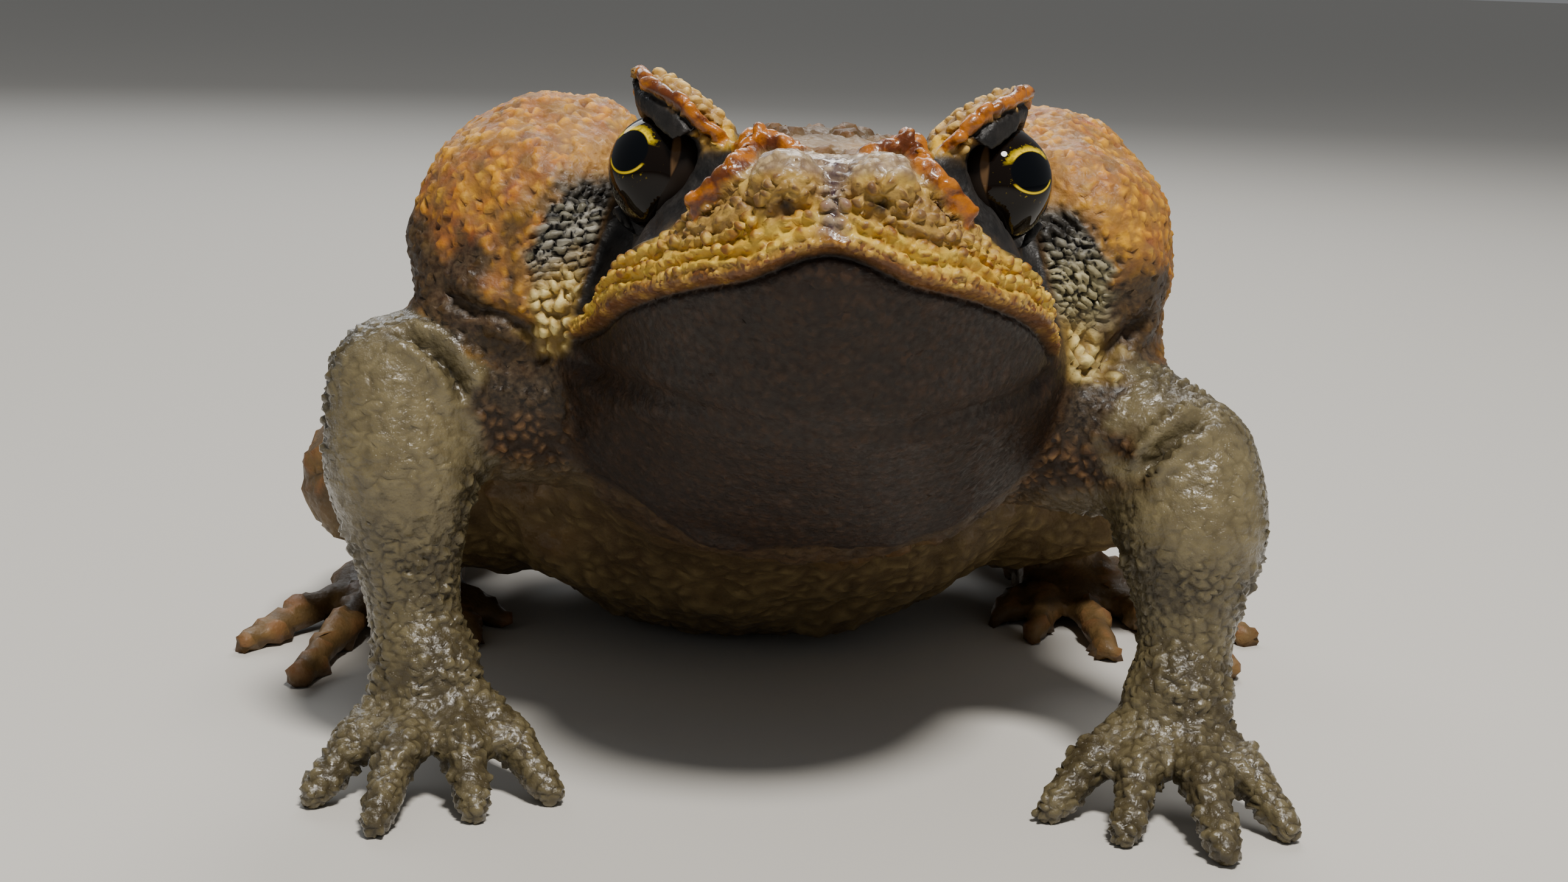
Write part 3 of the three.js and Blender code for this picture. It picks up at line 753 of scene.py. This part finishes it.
def zones_of(r):
    """Where each kind of skin lies, from 0 to 1."""
    side, ahead, up = r.head.T
    out = np.abs(side)
    mouth = up - mouth_up(side)
    face = r.share["head"] * (1 - ramp(r.share["gland"], 0.3, 0.9))
    above = ramp(mouth, 0.2, 0.8)
    front = ramp(ahead, 2, 8)
    zone = {}
    ropes = read_values(r.mesh, "bony")
    lid = ramp(up, 16.5, 18.5) * ramp(out, 12, 14) * ramp(ahead, 2, 5) * face
    zone["rope"] = ropes
    eye = np.linalg.norm(folded(r.head) - EYE_SPOT, axis=1)
    rim = (1 - ramp(eye, 10.2, 11.4)) * (1 - ramp(r.facing[:, 2], 0.1, 0.5))
    under_lid = np.maximum(ramp(read_values(r.mesh, "under_lid"), 0.03, 0.2), rim) * (1 - ropes)
    ragged = 1.6 * wander(r.world, 5, 5) + 0.8 * wander(r.world, 2, 8)
    panel, dip = cheek(side, ahead, up, ragged)
    socket = np.maximum(1 - ramp(eye, 11.5, 15.0), (1 - ramp(eye, 15.5, 18.5)) * ramp(mouth, 5.0, 7.0))
    socket *= 1 - ramp(up, 12, 15) * (1 - ramp(ahead, 20, 26))
    zone["lid"] = lid * (1 - ropes) * (1 - under_lid)
    # The eye sockets, the lids' undersides, a rim round each eye and the dip before the cheek are painted
    # near black as shade
    dark = np.maximum(np.maximum(socket * (1 - lid) * (r.share["head"] > 0.3), under_lid), dip)
    zone["shaded_hollow"] = dark * (1 - ropes)
    zone["lip"] = above * (1 - ramp(mouth, 1.6, 2.6)) * front * face
    bare = (1 - zone["shaded_hollow"]) * (1 - ropes) * (1 - lid)
    band = above * ramp(mouth, 1.4, 2.4) * front * face * bare
    snout = ramp(up, 7.0, 9.5) * ramp(ahead, 24, 34) * (1 - ramp(out, 9, 13))
    zone["snout"] = band * snout
    zone["band"] = band * (1 - snout) * (1 - ramp(up, 13, 16) * ramp(-ahead, -30, -20))
    zone["crown"] = face * ramp(up, 9, 13) * (1 - ramp(ahead, 30, 36)) * bare
    zone["band"] = zone["band"] * (1 - zone["crown"])
    zone["crown"] = zone["crown"] * ramp(ahead + 5 * wander(r.world, 7, 30), -12, 12)
    zone["throat"] = r.share["jaw"] * (1 - above * front) * (1 - r.share["gland"])
    low = 1 - ramp(up + 0.8 * ragged, 1.5, 8.5)
    border = 4 * r.share["gland"] * (1 - r.share["gland"])
    uneven = border * (0.25 * wander(r.world, 3.5, 25) + 0.12 * ragged)
    zone["gland"] = ramp(r.share["gland"] + uneven, 0.3, 0.75)
    zone["cream"] = panel * low
    zone["plate"] = panel * (1 - low)
    for name in ("gland", "shaded_hollow", "band", "lip", "throat"):
        zone[name] = zone[name] * (1 - panel)
    for name in ("gland", "band", "crown"):
        zone[name] = zone[name] * (1 - zone["shaded_hollow"])
    arms = np.clip(r.share["fore"] + r.share["hand"], 0, 1) * (1 - r.share["gland"])
    edge = np.where(side < 0, MUD_RIGHT, MUD_LEFT)
    muddy = np.maximum(ramp(out + ragged, edge - 1, edge + 2), ramp(r.share["hand"], 0.1, 0.5))
    muddy = np.maximum(muddy, ramp(-up, 17, 22)) * arms
    zone["arm"] = muddy
    facing = ramp(-r.normals[:, 1], 0.35, 0.75) * ramp(up + 1.5 * wander(r.world, 6, 15), -33, -24)
    zone["film"] = muddy * facing * (1 - r.share["hand"])
    zone["upper"] = np.clip(arms - muddy, 0, 1)
    belly = ramp(-r.normals[:, 2], 0.1, 0.6) * ramp(r.body[:, 1], 15, 30)
    belly = np.maximum(belly, ramp(ahead, -32, -24) * ramp(-up, 5, 10) * (1 - zone["throat"]))
    zone["belly"] = belly * (1 - arms) * (1 - r.share["foot"])
    zone["hind"] = np.clip(r.share["hind"] + r.share["foot"], 0, 1) * (1 - belly) * (1 - arms)
    zone["back"] = 1 - np.clip(sum(zone[name] for name in zone if name != "film"), 0, 1)
    return zone


WRINKLE_LEAN = math.radians(30)
GOLD_SPOT = (12.9, 30.0, 18.3)
FLOOR_GAP = 0.02 * MM


def small_forms(skin):
    """Warts, plates, granules and pores, and the masks that the colours need."""
    r = Relief(skin.data)
    zone = zones_of(r)
    outward = ramp(np.abs(r.normals[:, 0]), 0.35, 0.8) + 0.8 * r.share["hand"]
    clods = ramp(wander(r.world, 7, 4) + 0.5 * outward, 0.35, 0.6) * (1 - zone["film"])
    grain = {**zone, "clod": zone["arm"] * clods, "grain": zone["arm"] * (1 - zone["film"])}
    grain["band"] = zone["band"] * (0.6 + 0.4 * ramp(r.head[:, 2] - mouth_up(r.head[:, 0]), 3, 6))
    grain["lid"] = zone["lid"] * (1 - ramp(np.abs(r.head[:, 0]), 26.5, 28.5))
    tip = np.zeros(len(r.world))
    # Darkening in the gaps between warts, in outlines, folds and pores: partly the skin's own darker folds,
    # partly painted shade
    crease_colour_and_shade = read_values(skin.data, "outline")
    odd = np.full(len(r.world), 0.5)
    warp = [wander(r.world, 1.9, seed) + 0.6 * wander(r.world, 1.0, seed + 3) for seed in (21, 22, 23)]
    warp = np.stack(warp, axis=1)

    def warts(
        name, spacing, height, radius=0.62, stretch=(1, 1, 1), least=0.5, creased=0.3,
        tips=1.0, blunt=0.8, cracked=0, space=r.world,
    ):
        """Domes of random size, from the least share up; cracked ones fill their cells and part in cracks."""
        bent = space + warp * (0.16 * spacing * MM)
        seeds = scatter(bent, grain[name], spacing, stretch)
        if len(seeds) < 3:
            return
        chosen, first, second, which = nearest_two(bent, grain[name], seeds, stretch)
        chance = rng.random(len(seeds))
        size = (least + (1 - least) * chance)[which]
        dome = np.clip(1 - (first / (radius * spacing * size)) ** 2, 0, 1) ** blunt
        if cracked:
            plate = 1 - (1 - cracked) * ramp(first, 0, 0.8 * spacing)
            dome = ramp(second - first, 0.0, 0.3 * spacing) * plate
        gap = 1 - ramp(second - first, 0.0, 0.35 * spacing)
        fade = grain[name][chosen]
        r.lift[chosen] += fade * height * size * (dome - creased * gap)
        tip[chosen] = np.maximum(tip[chosen], np.clip(fade * tips * ramp(dome, 0.5, 0.85), 0, 1))
        crease_colour_and_shade[chosen] = np.maximum(crease_colour_and_shade[chosen], fade * (1 - ramp(dome, 0.0, 0.45)) * creased * 2)
        odd[chosen] = np.where(fade > 0.5, rng.random(len(seeds))[which], odd[chosen])

    def pores(name, spacing, depth, radius):
        """Round pits of random size, each in a low ring."""
        bent = r.world + warp * (0.12 * spacing * MM)
        seeds = scatter(bent, zone[name], spacing)
        chosen, first, _, which = nearest_two(bent, zone[name], seeds)
        size = (0.35 + 0.65 * rng.random(len(seeds)))[which]
        pit = swell(first, radius * size)
        ring = swell(first - 1.6 * radius, 0.6 * radius)
        fade = zone[name][chosen]
        r.lift[chosen] += fade * depth * (0.4 * ring - pit)
        crease_colour_and_shade[chosen] = np.maximum(crease_colour_and_shade[chosen], fade * ramp(pit, 0.2, 0.8))

    lean = np.abs(r.world[:, 0]) * math.cos(WRINKLE_LEAN) - r.world[:, 2] * math.sin(WRINKLE_LEAN)
    rise = np.abs(r.world[:, 0]) * math.sin(WRINKLE_LEAN) + r.world[:, 2] * math.cos(WRINKLE_LEAN)
    leaning = np.stack([lean, r.world[:, 1], rise], axis=1)
    warts("band", 1.5, 0.9, stretch=(0.85, 0.9, 1.15), radius=0.62, least=0.3, creased=0.35, tips=1.7)
    warts("snout", 1.1, 0.14, least=0.2, creased=0.4, tips=0.8)
    warts("lip", 0.95, 0.26, least=0.2, creased=0.4, tips=0.6)
    warts("lid", 2.1, 0.85, least=0.5)
    warts("rope", 2.8, 0.4, least=0.4, tips=0.3)
    warts("crown", 2.6, 0.3, least=0.3)
    warts("cream", 1.85, 1.0, radius=0.72, stretch=(1.1, 1, 0.85), least=0.55, creased=0.4)
    plates = {"stretch": (0.5, 0.8, 1.2), "tips": 0.4, "cracked": 0.6, "space": leaning}
    warts("plate", 1.25, 0.5, least=0.5, creased=0.8, **plates)
    warts("throat", 1.6, 0.2, least=0.3)
    warts("upper", 1.7, 0.6, least=0.3, creased=0.5, blunt=1.3)
    warts("film", 1.9, 0.2, stretch=(0.7, 0.8, 1.3), least=0.3, creased=0.3, tips=0.3, cracked=0.8)
    warts("grain", 1.3, 0.34, stretch=(0.7, 0.8, 1.25), least=0.4, creased=0.55, tips=0.5, cracked=0.6)
    warts("clod", 1.9, 0.7, least=0.2, creased=0.4, tips=0.5, blunt=1.1)
    warts("belly", 2.4, 0.35, least=0.7)
    warts("hind", 4.6, 0.8, least=0.25)
    warts("back", 6.2, 1.7, radius=0.5, least=0.3, tips=1.5)
    warts("back", 2.3, 0.25, least=0.4)
    warts("gland", 1.7, 0.34, radius=0.66, least=0.1, creased=0.35, tips=0.8)
    wrinkles = np.abs(wander(r.world * (0.4, 0.4, 1.7), 1.5, 16))
    r.lift += zone["film"] * 0.16 * (wrinkles - 0.6) + zone["snout"] * 0.34 * (wrinkles - 0.6)
    pores("gland", 2.6, 0.5, 0.62)
    tip_away = np.linalg.norm(np.abs(r.head) - np.array(LID_TIP) - (0, 0, 1.5), axis=1)
    r.lift *= 1 - 0.85 * swell(tip_away, 3.4)
    nostril = nostrils(r, 0.9)
    r.lift *= 1 - nostril
    r.apply()
    r.world[:, 2] = np.maximum(r.world[:, 2], FLOOR_GAP)
    move_points(skin.data, r.world)
    side, ahead, up = r.head.T
    mouth = up - mouth_up(side)
    out = np.abs(side)
    # The mouth's slit and the nostrils are painted near black below, as painted shade inside them
    slit = swell(mouth + 0.1, 0.5) * ramp(ahead, 3, 9) * r.face
    edge = np.where(side < 0, 2 + 0.94 * (out - 43), 10 + 0.4 * (out - 42))
    low = 1 - ramp(up + 2.2 * wander(r.world, 6, 9) - edge, -2, 3)
    beside = cheek(side, ahead, up, wander(r.world, 3, 28) - 2.8)[0] * (1 - cheek(side, ahead, up, 0)[0])
    beside = 0.85 * beside * zone["gland"] * ramp(up, -2, 2)
    near_eye = zone["gland"] * (1 - ramp(out, 31, 37)) * (1 - ramp(np.abs(up - 17), 1.5, 5))
    near_eye *= ramp(ahead, -10, -4)
    neck = np.clip(2 * (zone["gland"] + zone["back"] + 0.5 * zone["upper"]), 0, 1)
    neck *= ramp(out, 33, 37) * ramp(ahead + 4 * wander(r.world, 9, 24), -28, -8) * ramp(up, -16, -9)
    middle = swell(side, 1.8) * ramp(mouth, 0.6, 1.6) * ramp(ahead, 40, 44)
    wet = 0.8 * (zone["arm"] + zone["rope"]) + 0.5 * (zone["film"] + zone["snout"])
    wet += 0.3 * zone["lip"] + middle
    gold = np.linalg.norm(folded(r.head) - snapped([GOLD_SPOT])[0], axis=1)
    masks = {
        "mouth": np.maximum(slit, nostril),
        "lower_lip": 1 - ramp(mouth + 0.3 * wander(r.world, 3, 18), 0.5, 1.5),
        "shade": np.maximum.reduce([neck * low, near_eye, beside]),
        "rear": 0.9 * zone["gland"] * (1 - ramp(ahead + 5 * wander(r.world, 8, 29), -44, -14)),
        "tan": zone["gland"] * (1 - ramp(out + 2 * wander(r.world, 8, 17), 31, 40)) * (1 - ramp(up, 25, 31)),
        "black": zone["plate"] * ramp(up + 0.8 * wander(r.world, 3, 20), 14.5, 17),
        "high": ramp(mouth + 1.2 * wander(r.world, 4, 19), 4.5, 7.5) * (1 - ramp(out, 17, 24)),
        "pale": zone["plate"] * ramp(side, 0, 20) * (1 - ramp(up, 10, 15)),
        # Painted shade on the belly's front, next to the throat
        "chest_shade": zone["belly"] * ramp(ahead + 6 * wander(r.world, 11, 26), -62, -18),
        "middle": middle,
        "wet": np.clip(wet, 0, 1),
        "tip": tip,
        "crease_colour_and_shade": np.maximum(crease_colour_and_shade, middle * ramp(-snout_bars(r), 0.0, 0.7)),
        "odd": odd,
        "gold": 1 - ramp(gold, 1.8, 3.4),
    }
    masks.update({"zone_" + name: values for name, values in zone.items()})
    for name, values in masks.items():
        write_values(skin.data, name, values)
    for group in FLESH:
        skin.data.attributes.remove(skin.data.attributes[group])
    return zone


# How many edges each level of detail reaches past what needs it, and the triangles that it may have
DETAIL_MARGIN = 6
DETAIL_TRIANGLES = {0: 22000, 1: 84000, 2: 80000}
# The lowest strength at which the thinning keeps to its group
GROUP_STRENGTH = 0.001


def mark_detail(skin, zone):
    """How closely the portrait looks at each vertex: 2 at the face, 1 at the rest of the front, 0 behind."""
    mesh = skin.data
    ahead = in_head(points_of(mesh))[:, 1]
    normals = normals_of(mesh)
    toward = -normals[:, 1] * math.cos(CAMERA_RISE) + normals[:, 2] * math.sin(CAMERA_RISE)
    seen = (toward > -0.15) & (ahead > -30)
    fine = sum(zone[name] for name in ("band", "snout", "lid", "rope", "cream", "plate", "lip", "shaded_hollow"))
    detail = seen.astype(int) + (seen & (fine > 0.3) & (ahead > -2))
    a, b = edges_of(mesh).T
    for _ in range(DETAIL_MARGIN):
        wider = detail.copy()
        np.maximum.at(wider, a, detail[b])
        np.maximum.at(wider, b, detail[a])
        detail = wider
    write_values(mesh, "detail", detail)


def thin_out(skin):
    """Collapses each level of detail to its own number of triangles."""
    for level, budget in DETAIL_TRIANGLES.items():
        mesh = skin.data
        detail = np.round(read_values(mesh, "detail")).astype(int)
        mesh.calc_loop_triangles()
        corners = np.empty(len(mesh.loop_triangles) * 3, dtype=np.int32)
        mesh.loop_triangles.foreach_get("vertices", corners)
        within = detail[corners.reshape(-1, 3)].max(axis=1) == level
        if within.sum() < budget:
            continue
        group = skin.vertex_groups.new(name="thin")
        group.add(np.flatnonzero(detail == level).tolist(), 1.0, "REPLACE")
        fewer = skin.modifiers.new("fewer", "DECIMATE")
        fewer.ratio = 1 - (within.sum() - budget) / len(within)
        fewer.vertex_group = "thin"
        fewer.vertex_group_factor = GROUP_STRENGTH
        settle(skin)
        skin.vertex_groups.clear()


large_forms(skin)
zone = small_forms(skin)
mark_detail(skin, zone)
thin_out(skin)


# Skin material: named regions painted over each other

def mask(tree, *factors):
    """The product of numbers, nodes' outputs and the mesh's own values, which are given by name."""
    result = None
    for factor in factors:
        if isinstance(factor, str):
            factor = add(tree, "Attribute", {"attribute_name": factor}).outputs["Fac"]
        if result is None:
            result = factor
        else:
            result = add(tree, "Math", {"operation": "MULTIPLY", 0: result, 1: factor}).outputs[0]
    return result


def where(tree, *spans):
    """The product of spans; each is an output, where it counts as 0 and as 1, and the values given there."""
    steps = [add(tree, "MapRange", dict(enumerate(span))).outputs[0] for span in spans]
    return mask(tree, *steps)


def paint(tree, under, over, *masks):
    """Lays one colour over another by the product of masks; each colour is a hex code or an output."""
    return add(tree, "Mix", {"data_type": "RGBA", 0: mask(tree, *masks), 6: under, 7: over}).outputs[2]


def mottle(tree, place, size, low=0.35, high=0.65, detail=3.0):
    """Soft blotches of a size in mm, as a mask."""
    grain = add(tree, "TexNoise", {"Scale": 1 / (size * MM), "Detail": detail, "Vector": place})
    return where(tree, (grain.outputs["Fac"], low, high))


def skin_material():
    # Living toad skin: a thin glandular hide, damp, its colour lying in the tissue and not on it.
    # The eye sees broken earthy colour, darker in every crease, with small wet glints on raised parts. The
    # creases' darkness is partly the skin's own and partly painted shade; painted shade also darkens the
    # hollows by the eyes, the throat, the chest, the mouth's line and the nostrils.
    material, tree, shader = new_material("damp_toad_skin")
    place = add(tree, "TexCoord").outputs["Object"]
    tip, crease_colour_and_shade, odd, wet = (mask(tree, name) for name in ("tip", "crease_colour_and_shade", "odd", "wet"))
    broad, middling = mottle(tree, place, 7), mottle(tree, place, 2.6)
    fine = mottle(tree, place, 0.9)

    def region(name, under, low, high, tips, crease_colours_and_shade, pattern=middling, tip_share=0.8, crease_share=0.85):
        mixed = {"operation": "MULTIPLY_ADD", 0: pattern, 1: 0.6, 2: mask(tree, odd, 0.4)}
        tone = paint(tree, low, high, add(tree, "Math", mixed).outputs[0])
        tone = paint(tree, tone, tips, tip, tip_share)
        # Crease colours in gaps and outlines: partly the skin's own darker folds, partly painted shade
        tone = paint(tree, tone, crease_colours_and_shade, crease_colour_and_shade, crease_share)
        return tone if under is None else paint(tree, under, tone, "zone_" + name)

    # The body, brown above and paler below, with dark marks on the throat; the throat's near-black brown is
    # partly its own colour and partly painted shade under the jaw
    tone = region("back", None, "#54401F", "#86683C", "#5E3C1E", "#33281A", broad)
    tone = region("hind", tone, "#5E4A2C", "#8A6C40", "#7A5232", "#362A1C", broad)
    tone = region("belly", tone, "#7C6844", "#5A482E", "#988458", "#3E3020")
    # Painted shade: the chest near the throat darkened towards the throat's brown
    tone = paint(tree, tone, paint(tree, "#2E2014", "#4C3824", middling), "chest_shade", 0.9)
    # Throat: dark brown, partly its own colour and partly painted shade under the jaw
    tone = region("throat", tone, "#20150D", "#382516", "#432D1B", "#150D08", tip_share=0.5)
    tone = region("upper", tone, "#46301C", "#64452A", "#8E6C44", "#1E150D", tip_share=0.6)
    tone = paint(tree, tone, "#20150F", "zone_throat", mottle(tree, place, 1.2, 0.6, 0.66, 1.0))

    # Grey-brown mud on the forelimbs, in a crust and a thin film
    tone = region("arm", tone, "#4E4530", "#6A6044", "#7C7254", "#2E2618", tip_share=0.5, crease_share=0.75)
    tone = region("film", tone, "#60563E", "#7A6F50", "#84795A", "#342C1E", tip_share=0.4, crease_share=0.75)

    # Ochre glands, tan towards the crown and brown behind, with a shade under them and beside the cheek
    gland = paint(tree, "#BC6404", "#80643C", mottle(tree, place, 3, 0.42, 0.68))
    gland_creases = {"tip_share": 0.45, "crease_share": 0.8}
    tone = region("gland", tone, gland, "#E4A414", "#ECB84C", "#3E3440", broad, **gland_creases)
    tone = paint(tree, tone, "#745024", mottle(tree, place, 2.2, 0.5, 0.62), "zone_gland", 0.35)
    tone = paint(tree, tone, paint(tree, "#9A7038", "#BC9050", fine), "tan", 0.75)
    tone = paint(tree, tone, region("back", None, "#664A22", "#94703A", "#5E3C1E", "#3A2C1A", broad), "rear")
    tone = paint(tree, tone, paint(tree, "#1C1712", "#463A2A", fine), "shade", 0.93)

    # Cheek plates, grey to cream on the toad's left side and black beside the eye
    tone = region("plate", tone, "#2E2D2A", "#98948A", "#9A9478", "#0A0807", odd)
    pale = paint(tree, paint(tree, "#7E7656", "#B0A680", odd), "#241F12", crease_colour_and_shade, 0.8)
    tone = paint(tree, tone, pale, "pale")
    tone = paint(tree, tone, paint(tree, "#100D0B", "#2C2822", fine), "black")

    # Crown, snout and the yellow band over the mouth, browner towards its top
    tone = region("crown", tone, "#8E6E44", "#B89458", "#A27A48", "#4A3824")
    tone = region("snout", tone, "#8C7464", "#D2B880", "#A08468", "#5A4434")
    band_creases = {"tip_share": 0.85, "crease_share": 0.55}
    tone = region("band", tone, "#C8962A", "#F6D656", "#6E3210", "#7A4E12", **band_creases)
    high = region("band", None, "#9C763C", "#D8B058", "#4A2820", "#46301A", crease_share=0.65)
    tone = paint(tree, tone, high, "high", "zone_band")
    middle = paint(tree, "#8A7264", "#B8A486", middling)
    tone = paint(tree, tone, paint(tree, middle, "#3A2630", crease_colour_and_shade), "middle")

    # Lids, the cream bumps at the mouth's corners with pale tops as a painted highlight, and a gold spot
    # before each eye
    tone = region("lid", tone, "#9A7032", "#C59A44", "#DDB968", "#5E401E")
    # The cream bumps' pale tips are a painted highlight on their tops
    tone = region("cream", tone, "#A0803A", "#CCAE60", "#F0DE98", "#4A3416")
    tone = paint(tree, tone, "#E2B42A", "gold")

    # Lips, the hollows in near-black painted shade, crests, and the mouth's line and nostrils painted near
    # black as shade
    lip_dots = mottle(tree, place, 0.9, 0.56, 0.62, 1.0)
    lip = paint(tree, paint(tree, "#A8742E", "#DAB04C", middling), "#7A4A24", lip_dots)
    lip = paint(tree, lip, paint(tree, "#54301A", "#86562A", middling), "lower_lip")
    tone = paint(tree, tone, paint(tree, lip, "#5A3618", crease_colour_and_shade, 0.7), "zone_lip")
    # Painted shade: near black in the eye sockets, under the lids, round the eyes and in the dip before the
    # cheek
    tone = paint(tree, tone, paint(tree, "#131212", "#262321", middling), "zone_shaded_hollow")
    rope = paint(tree, "#A8600C", "#5C2C0E", mottle(tree, place, 3.2, 0.46, 0.6))
    tone = paint(tree, tone, paint(tree, rope, "#C88A30", tip, 0.4), "zone_rope")
    # Painted shade: the mouth's slit and the nostrils near black
    tone = paint(tree, tone, "#1A120E", "mouth")
    tree.links.new(tone, shader.inputs["Base Color"])

    dryness = where(tree, (fine, 0, 1, 0.42, 0.62))
    roughness = add(tree, "Math", {"operation": "SUBTRACT", 0: dryness, 1: mask(tree, wet, 0.24)})
    tree.links.new(roughness.outputs[0], shader.inputs["Roughness"])
    tree.links.new(mask(tree, wet, 0.8), shader.inputs["Coat Weight"])
    shader.inputs["Coat Roughness"].default_value = 0.1
    shader.inputs["Coat IOR"].default_value = 1.33
    shader.inputs["IOR"].default_value = 1.4
    pebbles = add(tree, "TexNoise", {"Scale": 1 / (0.55 * MM), "Detail": 3.0, "Vector": place}).outputs["Fac"]
    wrinkles = add(tree, "TexNoise", {"Scale": 1 / (1.6 * MM), "Detail": 2.0, "Vector": place}).outputs["Fac"]
    coarse = add(tree, "Bump", {"Strength": 0.5, "Distance": 0.5 * MM, "Height": wrinkles}).outputs[0]
    hide = {"Strength": 0.5, "Distance": 0.22 * MM, "Height": pebbles, "Normal": coarse}
    tree.links.new(add(tree, "Bump", hide).outputs[0], shader.inputs["Normal"])
    sparkle = {"Distance": 0.4 * MM, "Height": pebbles, "Strength": mask(tree, "zone_arm")}
    tree.links.new(add(tree, "Bump", sparkle).outputs[0], shader.inputs["Coat Normal"])
    return material


# Eyes: glossy balls with a bulging cornea, a wide oval pupil and gold arcs

# Half the pupil's width and height, and the gaze as side, forward and up
PUPIL = {"left": (3.6, 2.7), "right": (3.4, 2.9)}
PUPIL_TILT = math.radians(18)
GAZE = {"left": (0.60, 0.77, -0.02), "right": (0.65, 0.75, 0.11)}
CORNEA_REACH = math.radians(52)
CORNEA_BULGE = 0.35


def eye_material(side, turn, s):
    # A living eye: a wet, clear, dome-like cornea over a nearly black iris.
    # The eye sees one hard window-bright glint, and the gold pigment glowing round the pupil under it.
    material, tree, shader = new_material(f"wet_eye_{side}")
    gaze = {"vector_type": "TEXTURE", "Location": eyes[side], "Rotation": turn.to_euler(), "Scale": [MM] * 3}
    own = add(tree, "Mapping", {**gaze, "Vector": add(tree, "TexCoord").outputs["Object"]}).outputs[0]
    tilt = {"vector_type": "TEXTURE", "Rotation": (0, 0, s * PUPIL_TILT), "Vector": own}
    tilted = add(tree, "Mapping", tilt).outputs[0]
    width, height = PUPIL[side]
    flat = add(tree, "VectorMath", {"operation": "MULTIPLY", 0: tilted, 1: (1 / width, 1 / height, 0)})
    ring = add(tree, "VectorMath", {"operation": "LENGTH", 0: flat.outputs[0]}).outputs["Value"]
    across, level, _ = add(tree, "SeparateXYZ", {0: own}).outputs
    rise = add(tree, "SeparateXYZ", {0: tilted}).outputs[1]
    threads = add(tree, "TexNoise", {"Scale": 1.6, "Detail": 4.0, "Vector": own}).outputs["Fac"]

    # Gold pigment: an arc over the pupil, a thin one under it, and specks round it
    frayed = add(tree, "Math", {"operation": "MULTIPLY_ADD", 0: threads, 1: 0.5, 2: ring}).outputs[0]
    upper = where(tree, (frayed, 1.60, 1.36), (rise, 1.3, 2.1), (threads, 0.36, 0.5, 0.45, 1.0))
    lower = where(tree, (ring, 1.13, 1.08), (rise, -1.2, -1.7))
    specks = mask(tree, where(tree, (threads, 0.66, 0.71), (ring, 1.7, 1.2)), 0.3)
    arcs = add(tree, "Math", {"operation": "ADD", 0: upper, 1: lower}).outputs[0]
    gold = add(tree, "Math", {"operation": "MAXIMUM", 0: arcs, 1: specks}).outputs[0]
    tone = paint(tree, "#120C08", "#F2D000", gold)
    tone = paint(tree, tone, "#04060A", where(tree, (ring, 1.05, 0.99)))

    # The corner of the eye nearest the snout: a thin fold, and skin beyond a bowed edge
    outward = mask(tree, across, s)
    bends = [mask(tree, level, level, bend) for bend in (0.03, 0.09)]
    subtract = {"operation": "SUBTRACT", 0: outward}
    bow, edge = (add(tree, "Math", {**subtract, 1: bend}).outputs[0] for bend in bends)
    tone = paint(tree, tone, "#5E4730", where(tree, (bow, -5.75, -5.95), (edge, -6.7, -6.5)))
    skin_side = where(tree, (edge, -6.55, -6.75))
    tone = paint(tree, tone, "#1E1712", skin_side)
    tree.links.new(tone, shader.inputs["Base Color"])
    tree.links.new(where(tree, (skin_side, 0, 1, 0.03, 0.4)), shader.inputs["Roughness"])
    shader.inputs["IOR"].default_value = 1.376
    shader.inputs["Specular IOR Level"].default_value = 0.35
    return material


def make_eye(side, s):
    gaze = sideways * (s * GAZE[side][0]) + forward * GAZE[side][1] + upward * GAZE[side][2]
    gaze.normalize()
    across = upward.cross(gaze).normalized()
    rise = gaze.cross(across)
    turn = Matrix((across, rise, gaze)).transposed()
    bm = bmesh.new()
    bmesh.ops.create_uvsphere(bm, u_segments=128, v_segments=72, radius=EYE_RADIUS * MM)
    for vert in bm.verts:
        angle = vert.co.angle(Vector((0, 0, 1)))
        lift = CORNEA_BULGE * MM * float(ramp(CORNEA_REACH - angle, 0, 0.5))
        vert.co += vert.co.normalized() * lift
    bmesh.ops.transform(bm, matrix=Matrix.Translation(eyes[side]) @ turn.to_4x4(), verts=bm.verts)
    eye = object_of(bm, f"eyeball_{side}")
    for polygon in eye.data.polygons:
        polygon.use_smooth = True
    eye.data.materials.append(eye_material(side, turn, s))
    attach(eye, "root")
    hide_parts(f"eye_{side}")


skin.data.materials.append(skin_material())
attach(skin, "root")
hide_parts(*ALL_FLESH)
make_eye("left", 1)
make_eye("right", -1)
